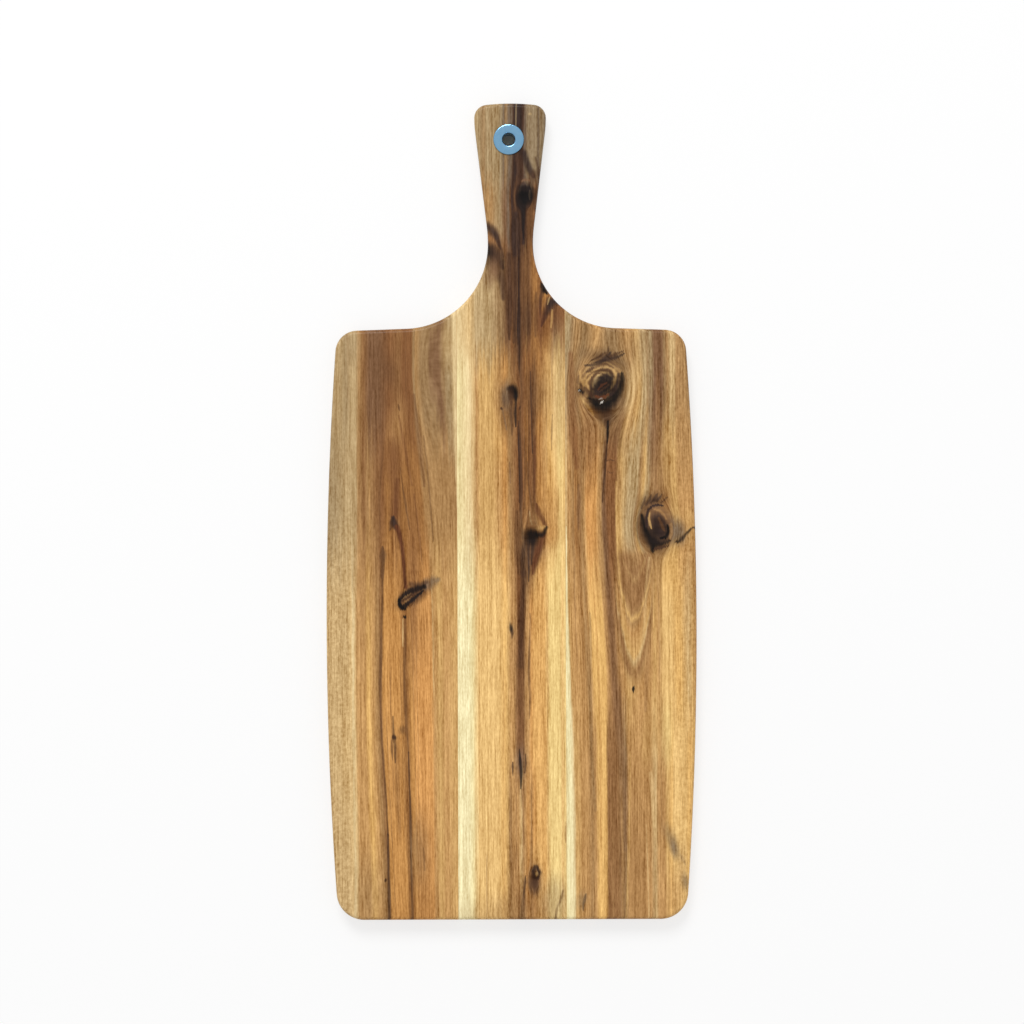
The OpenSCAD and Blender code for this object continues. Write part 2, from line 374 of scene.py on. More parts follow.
class Wiring:
    """Adds nodes to one node tree and joins their sockets."""

    def __init__(self, tree):
        self.tree = tree

    def feed(self, socket, value):
        """Joins a socket to another one or to a node's first output, or sets it to a constant."""
        if isinstance(value, bpy.types.Node):
            value = value.outputs[0]
        if isinstance(value, bpy.types.NodeSocket):
            self.tree.links.new(value, socket)
        else:
            socket.default_value = value

    def add(self, kind, inputs=(), **settings):
        """Adds a node. Its inputs are given in order, or in a dictionary by name or number."""
        node = self.tree.nodes.new(kind)
        for setting, value in settings.items():
            setattr(node, setting, value)
        self.give(node, inputs)
        return node

    def give(self, node, inputs):
        pairs = inputs.items() if isinstance(inputs, dict) else enumerate(inputs)
        for socket, value in pairs:
            self.feed(node.inputs[socket], value)

    def math(self, operation, *values):
        return self.add("ShaderNodeMath", values, operation=operation).outputs[0]

    def minus(self, value, other):
        return self.math("SUBTRACT", value, other)

    def over(self, value, other):
        return self.math("DIVIDE", value, other)

    def times(self, value, other):
        return self.math("MULTIPLY", value, other)

    def times_plus(self, value, factor, addend):
        return self.math("MULTIPLY_ADD", value, factor, addend)

    def square_sum(self, x, y):
        return self.times_plus(x, x, self.times(y, y))

    def vector(self, operation, *values):
        return self.add("ShaderNodeVectorMath", values, operation=operation).outputs[0]

    def distance(self, place, other):
        return self.add("ShaderNodeVectorMath", (place, other), operation="DISTANCE").outputs["Value"]

    def joined(self, x, y, z):
        return self.add("ShaderNodeCombineXYZ", (x, y, z)).outputs[0]

    def eased(self, value, start, end, start_value=0.0, end_value=1.0):
        span = (value, start, end, start_value, end_value)
        return self.add("ShaderNodeMapRange", span, interpolation_type="SMOOTHSTEP", clamp=False).outputs[0]

    def mixed(self, share, first, second):
        return self.add("ShaderNodeMix", {0: share, 6: first, 7: second}, data_type="RGBA").outputs[2]

    def ramp(self, value, bands, low, high):
        """Colours over the span from low to high, given as places with the names of tones."""
        spread = self.add("ShaderNodeMapRange", (value, low, high, 0.0, 1.0), clamp=False)
        node = self.add("ShaderNodeValToRGB", (spread,))
        elements = node.color_ramp.elements
        while len(elements) > 1:
            elements.remove(elements[-1])
        for index, (place, shade) in enumerate(bands):
            position = (place - low) / (high - low)
            element = elements[0] if index == 0 else elements.new(position)
            element.position = position
            element.color = tone(shade)
        return node.outputs[0]

    def group(self, tree, **values):
        inputs = {socket_label(name): value for name, value in values.items()}
        return self.add("ShaderNodeGroup", inputs, node_tree=tree).outputs

    def object_place(self):
        """The place on the piece, in millimetres."""
        place = self.add("ShaderNodeTexCoord").outputs["Object"]
        scaled = self.add("ShaderNodeVectorMath", {"Vector": place, "Scale": PER_MM}, operation="SCALE")
        return scaled.outputs[0]

    def bump(self, height, strength, distance):
        return self.add("ShaderNodeBump", {"Height": height, "Strength": strength, "Distance": distance})


def socket_label(name):
    """The label of a socket, from a name in code."""
    return name.replace("_", " ").capitalize()


def new_tree(name, kind, inputs, outputs):
    """A node tree with inputs and outputs as labels with kinds, its wiring and its given values."""
    tree = bpy.data.node_groups.new(name, kind)
    for way, sockets in (("INPUT", inputs), ("OUTPUT", outputs)):
        for socket, value_kind in sockets:
            tree.interface.new_socket(name=socket, in_out=way, socket_type="NodeSocket" + value_kind)
    wires = Wiring(tree)
    return tree, wires, wires.add("NodeGroupInput").outputs


def new_group(name, inputs, outputs):
    """A shader group with named float inputs and outputs."""
    numbers = [[(socket, "Float") for socket in sockets] for sockets in (inputs, outputs)]
    return new_tree(name, "ShaderNodeTree", *numbers)


def new_shape_tree(name, sizes):
    """A geometry tree with a geometry input, named sizes and a material."""
    inputs = [("Geometry", "Geometry"), *sizes, ("Material", "Material")]
    return new_tree(name, "GeometryNodeTree", inputs, [("Geometry", "Geometry")])


def give_outputs(wires, **values):
    wires.add("NodeGroupOutput", {socket_label(name): value for name, value in values.items()})


def modifier_result(piece_name, mesh, tree, values, material):
    """Runs a geometry tree on a mesh and returns the result as a plain piece with one material."""
    holder = bpy.data.objects.new(piece_name, mesh)
    bpy.context.scene.collection.objects.link(holder)
    modifier = holder.modifiers.new("shape", "NODES")
    modifier.node_group = tree
    sockets = {item.name: item.identifier for item in tree.interface.items_tree if item.in_out == "INPUT"}
    for size, value in values.items():
        modifier[sockets[size]] = value
    modifier[sockets["Material"]] = material
    graph = bpy.context.evaluated_depsgraph_get()
    shape = bpy.data.meshes.new_from_object(holder.evaluated_get(graph), depsgraph=graph)
    shape.name = piece_name
    holder.modifiers.remove(modifier)
    holder.data = shape
    bpy.data.meshes.remove(mesh)
    return holder


def finish_shape(wires, given, geometry):
    """Smooths the faces but for sharp edges, then ends the tree in Realize Instances and Set Material."""
    smooth = wires.add("GeometryNodeSetShadeSmooth", {"Geometry": geometry}, domain="FACE")
    crease = wires.add("GeometryNodeInputMeshEdgeAngle").outputs["Unsigned Angle"]
    above = {"A": crease, "B": SHARP_CREASE}
    sharp = wires.add("FunctionNodeCompare", above, data_type="FLOAT", operation="GREATER_THAN")
    edges = {"Geometry": smooth, "Selection": sharp, "Shade Smooth": False}
    real = wires.add("GeometryNodeRealizeInstances", {
        "Geometry": wires.add("GeometryNodeSetShadeSmooth", edges, domain="EDGE"),
    })
    coated = wires.add("GeometryNodeSetMaterial", {"Geometry": real, "Material": given["Material"]})
    give_outputs(wires, geometry=coated)


def stave_solid_tree():
    """Raises a stave's flat plan to a solid with rounded edges, sunk knots and the pocket for the washer."""
    sizes = [(size, "Float") for size in ("Thickness", "Edge radius", "Pocket radius", "Pocket depth")]
    tree, wires, given = new_shape_tree("stave_solid", sizes + [("Pocket centre", "Vector")])
    edge = wires.add("GeometryNodeInputNamedAttribute", {"Name": "from_edge"}, data_type="FLOAT")
    sunk = wires.add("GeometryNodeInputNamedAttribute", {"Name": "hollow"}, data_type="FLOAT")
    place = wires.add("GeometryNodeInputPosition").outputs[0]
    radius = given["Edge radius"]

    left = wires.minus(radius, wires.math("MINIMUM", edge, radius))
    rest = wires.minus(wires.math("POWER", radius, 2.0), wires.math("POWER", left, 2.0))
    roll = wires.minus(radius, wires.math("SQRT", wires.math("MAXIMUM", rest, 0.0)))
    top = wires.minus(wires.minus(given["Thickness"], roll), sunk)
    away = wires.distance(place, given["Pocket centre"])
    reach = wires.math("ADD", given["Pocket radius"], POCKET_DRAFT / 2)
    in_pocket = wires.math("LESS_THAN", away, reach)
    under = wires.times_plus(in_pocket, given["Pocket depth"], roll)

    lift = {"Mesh": given["Geometry"], "Offset": (0.0, 0.0, 1.0), "Individual": False}
    lifted = wires.add("GeometryNodeExtrudeMesh", lift, mode="FACES")
    x, y, z = wires.add("ShaderNodeSeparateXYZ", (place,)).outputs
    raised = wires.math("GREATER_THAN", z, 0.5)
    height = wires.times_plus(raised, wires.minus(top, under), under)
    turned = wires.add("GeometryNodeFlipFaces", {"Mesh": given["Geometry"]})
    both = wires.add("GeometryNodeJoinGeometry")
    for sheet, level in ((lifted, height), (turned, under)):
        shaped = {"Geometry": sheet, "Position": wires.joined(x, y, level)}
        wires.feed(both.inputs[0], wires.add("GeometryNodeSetPosition", shaped))
    welded = wires.add("GeometryNodeMergeByDistance", {"Geometry": both, "Distance": WELD})
    finish_shape(wires, given, welded)
    return tree


def turned_ring_tree():
    """Turns a closed profile, drawn as radius and height, round an upright axis."""
    sizes = [("Axis", "Vector"), ("Turning radius", "Float"), ("Steps", "Int")]
    tree, wires, given = new_shape_tree("turned_ring", sizes)
    profile = wires.add("GeometryNodeMeshToCurve", {"Mesh": given["Geometry"]})
    circle = {"Resolution": given["Steps"], "Radius": given["Turning radius"]}
    path = wires.add("GeometryNodeCurvePrimitiveCircle", circle, mode="RADIUS")
    sweep = wires.add("GeometryNodeCurveToMesh", {"Curve": path, "Profile Curve": profile})
    placed = wires.add("GeometryNodeTransform", {"Geometry": sweep, "Translation": given["Axis"]})
    finish_shape(wires, given, placed)
    return tree


# Tones of the wood, as red, green and blue from 0 to 255

TONES = {
    "white_cream": (255, 240, 188),
    "cream": (246, 227, 169),
    "vanilla": (237, 209, 156),
    "butter": (241, 197, 127),
    "custard": (248, 214, 141),
    "honey": (234, 184, 110),
    "maple": (230, 176, 104),
    "apricot": (222, 160, 92),
    "straw": (224, 187, 129),
    "wheat": (207, 172, 119),
    "gold": (215, 170, 105),
    "amber": (208, 150, 84),
    "tan": (203, 154, 95),
    "biscuit": (192, 144, 88),
    "ochre": (194, 138, 74),
    "sand": (191, 161, 115),
    "drab": (171, 144, 104),
    "hide": (173, 131, 82),
    "fawn": (157, 123, 82),
    "copper": (158, 108, 58),
    "russet": (150, 106, 64),
    "sienna": (136, 90, 52),
    "chestnut": (131, 94, 64),
    "walnut": (110, 74, 44),
    "smoke": (114, 94, 75),
    "rust": (100, 56, 32),
    "umber": (78, 51, 34),
    "plum": (54, 38, 33),
    "knot": (32, 22, 19),
    "soot": (14, 10, 9),
    "ash": (146, 123, 92),
    # Painted highlight: a pale tone that stands for light caught on the glossy knots
    "painted_highlight": (236, 232, 226),
}


def linear(tone):
    """A tone in linear light, as the sockets take it."""
    shares = [part / 255 for part in tone]
    lit = [s / 12.92 if s <= 0.04045 else ((s + 0.055) / 1.055) ** 2.4 for s in shares]
    return (*lit, 1.0)


def tone(name):
    return linear(TONES[name])


# What a stave's recipe is made of. Places and sizes are millimetres on the serving face, turns are degrees

Bend = namedtuple("Bend", "place reach push")
Parting = namedtuple("Parting", "place radius stretch")
Bands = namedtuple("Bands", "start end stops")
Arch = namedtuple("Arch", "middle half_width curve bottom top stops")
Streak = namedtuple("Streak", "place half_width bottom top fade tone strength")
Spot = namedtuple("Spot", "place half_size tone strength softness turn", defaults=(0.9, 0))
Rings = namedtuple("Rings", "place half_size turn softness count pale dark strength")
Stroke = namedtuple("Stroke", "tone strength softness points")
Recipe = namedtuple("Recipe", "seed lean low_x high_x grain figure bends partings bands arches streaks marks")

LEFT_MARKS = [
    Spot((-86, 98), (10, 18), "walnut", 0.15),
    Spot((-83, 96), (4, 9), "umber", 0.15, 0.9, 10),
    Spot((-78, 60), (5, 13), "tan", 0.35, 0.9, -12),
    Spot((-81, 34), (5.5, 13), "sienna", 0.5, 0.7),
    Spot((-64, -30), (5, 30), "copper", 0.4, 0.9, -4),
    Spot((-67.6, -52), (3.8, 50), "sienna", 0.5),
    Spot((-79, -182), (3.6, 24), "copper", 0.55),
    Spot((-113.5, -165), (3.6, 42), "straw", 0.8),
    Spot((-43, 116), (4, 15), "wheat", 0.6),
    Spot((-108.5, 115), (4, 13), "drab", 0.7),
    Spot((-101, -52), (6.5, 46), "russet", 0.35),
    Spot((-59.5, -80), (5.5, 20), "copper", 0.4),
    Stroke("fawn", 0.45, 0.9, [(-112, 126, 0.8), (-111.6, 90, 0.7), (-110.6, 55, 0.4)]),
    Stroke("walnut", 0.6, 0.7, [(-77.2, 73.5, 0.4), (-76.8, 71.5, 0.7), (-76.4, 69.5, 0.3)]),
    Stroke("rust", 0.3, 0.95, [
        (-66.5, 80, 0.8), (-64.6, 64, 1.4), (-63, 50, 1.8), (-61.4, 34, 1.6), (-59.5, 18, 0.8),
    ]),
    Stroke("walnut", 0.35, 0.9, [(-60, 52, 0.3), (-58, 34, 0.5), (-56, 12, 0.5), (-53.5, -20, 0.4)]),
    Stroke("sienna", 0.5, 0.9, [(-77, 66, 0.4), (-74, 50, 0.8), (-71, 34, 0.9), (-68, 18, 0.6)]),
    Stroke("walnut", 0.5, 0.9, [(-76, 30, 0.3), (-74, 14, 0.6), (-72, 2, 0.7), (-69.6, -12, 0.3)]),
    Stroke("sienna", 0.5, 0.7, [(-66.5, 12, 0.4), (-64.5, -4, 0.6), (-63, -18, 0.6), (-61, -36, 0.4)]),
    Stroke("walnut", 0.25, 0.95, [(-87.5, 44, 0.5), (-89.5, 26, 0.9), (-90.5, 8, 0.8), (-90, -12, 0.4)]),
    Stroke("rust", 0.35, 0.95, [(-77.5, 22, 1.4), (-78.6, 8, 2.4), (-79.8, -2, 2.6)]),
    Stroke("plum", 0.85, 0.8, [(-81, -4, 1.2), (-80.5, -7, 2.2), (-79.2, -10, 1.8)]),
    Stroke("umber", 0.5, 0.9, [(-82, -8, 1.2), (-83, -12, 0.6)]),
    Stroke("rust", 0.85, 0.7, [
        (-78.6, -10, 1.3), (-76.8, -15, 1.5), (-75.2, -22, 1.2), (-74.2, -31, 1.1), (-73.2, -42, 1.1),
        (-72.4, -52, 1.2),
    ]),
    Stroke("umber", 0.55, 0.95, [(-88.4, -24, 0.6), (-88, -30, 2.0), (-88.3, -36, 1.2), (-88.6, -45, 0.8)]),
    Stroke("walnut", 0.75, 0.8, [
        (-88.4, -40, 0.8), (-88.7, -60, 0.7), (-89, -80, 0.8), (-89.6, -100, 0.9), (-90.3, -117, 0.8),
        (-90, -140, 0.5), (-88.2, -173, 0.6), (-86, -203, 0.7), (-85.3, -221, 0.6),
    ]),
    Stroke("umber", 0.65, 0.8, [
        (-85.3, -221, 0.7), (-85, -241, 0.7), (-84.6, -261, 0.9), (-84.2, -280, 0.9),
    ]),
    Stroke("walnut", 0.4, 0.8, [
        (-73.4, -74, 0.6), (-73.1, -86, 0.7), (-73.5, -116, 0.9), (-73, -131, 1.0), (-72.2, -146, 0.7),
        (-71, -165, 0.5),
    ]),
    Stroke("umber", 0.6, 0.8, [
        (-71, -165, 0.5), (-69.8, -205, 0.7), (-69.5, -225, 0.8), (-69.2, -245, 0.7), (-68.5, -280, 0.7),
    ]),
    Stroke("straw", 0.6, 0.6, [(-74.4, -73, 0.4), (-74.5, -82, 0.6), (-74.6, -92, 0.3)]),
    Spot((-67, -57), (5.0, 12), "umber", 0.7, 0.7, -58),
    Stroke("smoke", 0.5, 0.95, [
        (-60.5, -51.8, 2.2), (-57, -49.4, 3.2), (-54, -47.6, 2.8), (-50.5, -46.8, 1.4),
    ]),
    Stroke("umber", 0.45, 0.9, [(-69, -49.5, 1.4), (-64, -50.4, 1.6), (-58, -48.6, 1.0)]),
    Stroke("knot", 0.85, 0.7, [
        (-76.8, -61, 1.2), (-74, -57.4, 1.6), (-70, -54.6, 1.8), (-65, -52.8, 1.8), (-60, -51.6, 1.4),
    ]),
    Stroke("knot", 0.9, 0.7, [
        (-76.4, -63.5, 1.4), (-74.4, -65.6, 1.6), (-71.4, -63.2, 1.3), (-68, -60.4, 1.1),
        (-64.6, -57.4, 1.0), (-61, -54.6, 0.8),
    ]),
    Stroke("umber", 0.7, 0.7, [(-75.4, -61.6, 0.7), (-72, -58.8, 0.8), (-68.4, -56.6, 0.7)]),
    Stroke("hide", 0.35, 0.8, [(-75, -60.2, 0.4), (-72, -57.8, 0.5), (-69, -55.8, 0.4)]),
    Stroke("hide", 0.35, 0.8, [(-74.6, -63.2, 0.4), (-71.6, -60.6, 0.5), (-68.6, -58.2, 0.4)]),
    Stroke("soot", 0.85, 0.7, [(-77, -60.4, 0.7), (-76.8, -63, 1.0), (-75, -66, 1.4), (-73.4, -66.6, 1.0)]),
    Spot((-73.5, -72), (1.0, 1.2), "soot", 0.9, 0.5),
    Spot((-80.7, -154.5), (1.5, 1.6), "knot", 0.9, 0.7),
    Stroke("umber", 0.5, 0.9, [
        (-81.6, -140, 0.3), (-81.4, -149, 0.7), (-80.8, -154, 1.2), (-80.2, -162, 1.0), (-80, -172, 0.4),
    ]),
    Stroke("walnut", 0.5, 0.8, [(-82.6, -156, 0.4), (-82.4, -163, 0.8), (-81.6, -170, 0.3)]),
    Spot((-75, -149.5), (2.2, 2.4), "walnut", 0.4, 0.8),
    Spot((-64.5, -233), (5, 20), "fawn", 0.55, 0.8),
    Spot((-61, -234), (6, 26), "russet", 0.5),
    Spot((-98, -265), (10, 25), "fawn", 0.5),
    Spot((-60, -270), (9, 16), "copper", 0.5, 0.8),
    Stroke("walnut", 0.3, 0.9, [(-61, -230, 0.3), (-60.4, -238, 0.6), (-60.3, -246, 0.3)]),
    Spot((-87, -252.5), (0.8, 1.0), "umber", 0.7, 0.6),
    Stroke("vanilla", 0.8, 0.6, [(-38.4, 145, 2.2), (-38, 60, 1.4), (-37, 0, 0.3)]),
]

LEFT_STAVE = Recipe(
    seed=3.0,
    lean=0.45,
    low_x=-130,
    high_x=-30,
    grain=(0.92, 0.72),
    figure=(-104, -112, 0.5),
    bends=[
        Bend((-62, 115), (14, 70), -12),
        Bend((-62, 40), (16, 90), -5),
        Bend((-82, -290), (22, 105), 6),
    ],
    partings=[
        Parting((-70, -58), 4.0, 1.6),
        Parting((-80.7, -154.5), 1.6, 2.5),
    ],
    bands=[
        Bands(0, 0, [
            (-127, "wheat"), (-122, "wheat"), (-113, "wheat"), (-110.2, "straw"), (-109, "vanilla"),
            (-107.6, "straw"), (-106, "tan"), (-101, "tan"), (-98.5, "honey"), (-95, "tan"), (-92, "hide"),
            (-90, "russet"), (-88.5, "ochre"), (-86, "amber"), (-77, "amber"), (-74.6, "copper"),
            (-71.6, "copper"), (-70, "ochre"), (-68.4, "amber"), (-66.5, "apricot"), (-55, "apricot"),
            (-53, "tan"), (-49, "gold"), (-45, "tan"), (-37, "gold"),
        ]),
        Bands(-75, 5, [
            (-127, "drab"), (-121, "drab"), (-113, "sand"), (-109, "sand"), (-106.6, "sand"),
            (-105, "hide"), (-101, "russet"), (-98, "hide"), (-93, "russet"), (-88, "sienna"),
            (-84, "copper"), (-78, "sienna"), (-72, "copper"), (-66, "copper"), (-56, "copper"),
            (-54, "hide"), (-48, "hide"), (-40, "hide"), (-37, "hide"),
        ]),
        Bands(20, 75, [
            (-127, "drab"), (-119, "sand"), (-113, "drab"), (-110, "sand"), (-106.5, "sand"),
            (-104.5, "hide"), (-101, "russet"), (-97, "chestnut"), (-90, "chestnut"), (-82, "sienna"),
            (-72, "russet"), (-66, "sienna"), (-57, "sienna"), (-55.4, "russet"), (-53.8, "fawn"),
            (-51, "hide"), (-47, "fawn"), (-44.5, "fawn"), (-42.8, "chestnut"), (-41.7, "fawn"),
            (-40.6, "drab"), (-38, "sand"), (-34, "sand"),
        ]),
    ],
    arches=[],
    streaks=[
        Streak(-91.5, 3.0, -290, -100, 40, "russet", 0.15),
        Streak(-67.5, 0.7, -230, -65, 8, "russet", 0.4),
        Streak(-65.2, 0.5, -200, -90, 15, "russet", 0.4),
        Streak(-81, 2.0, -215, -165, 15, "russet", 0.45),
        Streak(-76.5, 0.7, -215, -110, 20, "russet", 0.35),
        Streak(-83.5, 0.6, -190, -115, 15, "sienna", 0.5),
        Streak(-86.5, 0.5, -260, -150, 25, "russet", 0.5),
        Streak(-53.3, 0.8, -120, -55, 10, "straw", 0.6),
        Streak(-97, 0.8, -60, 10, 20, "tan", 0.5),
        Streak(-63, 1.0, 80, 130, 10, "walnut", 0.4),
    ],
    marks=LEFT_MARKS,
)

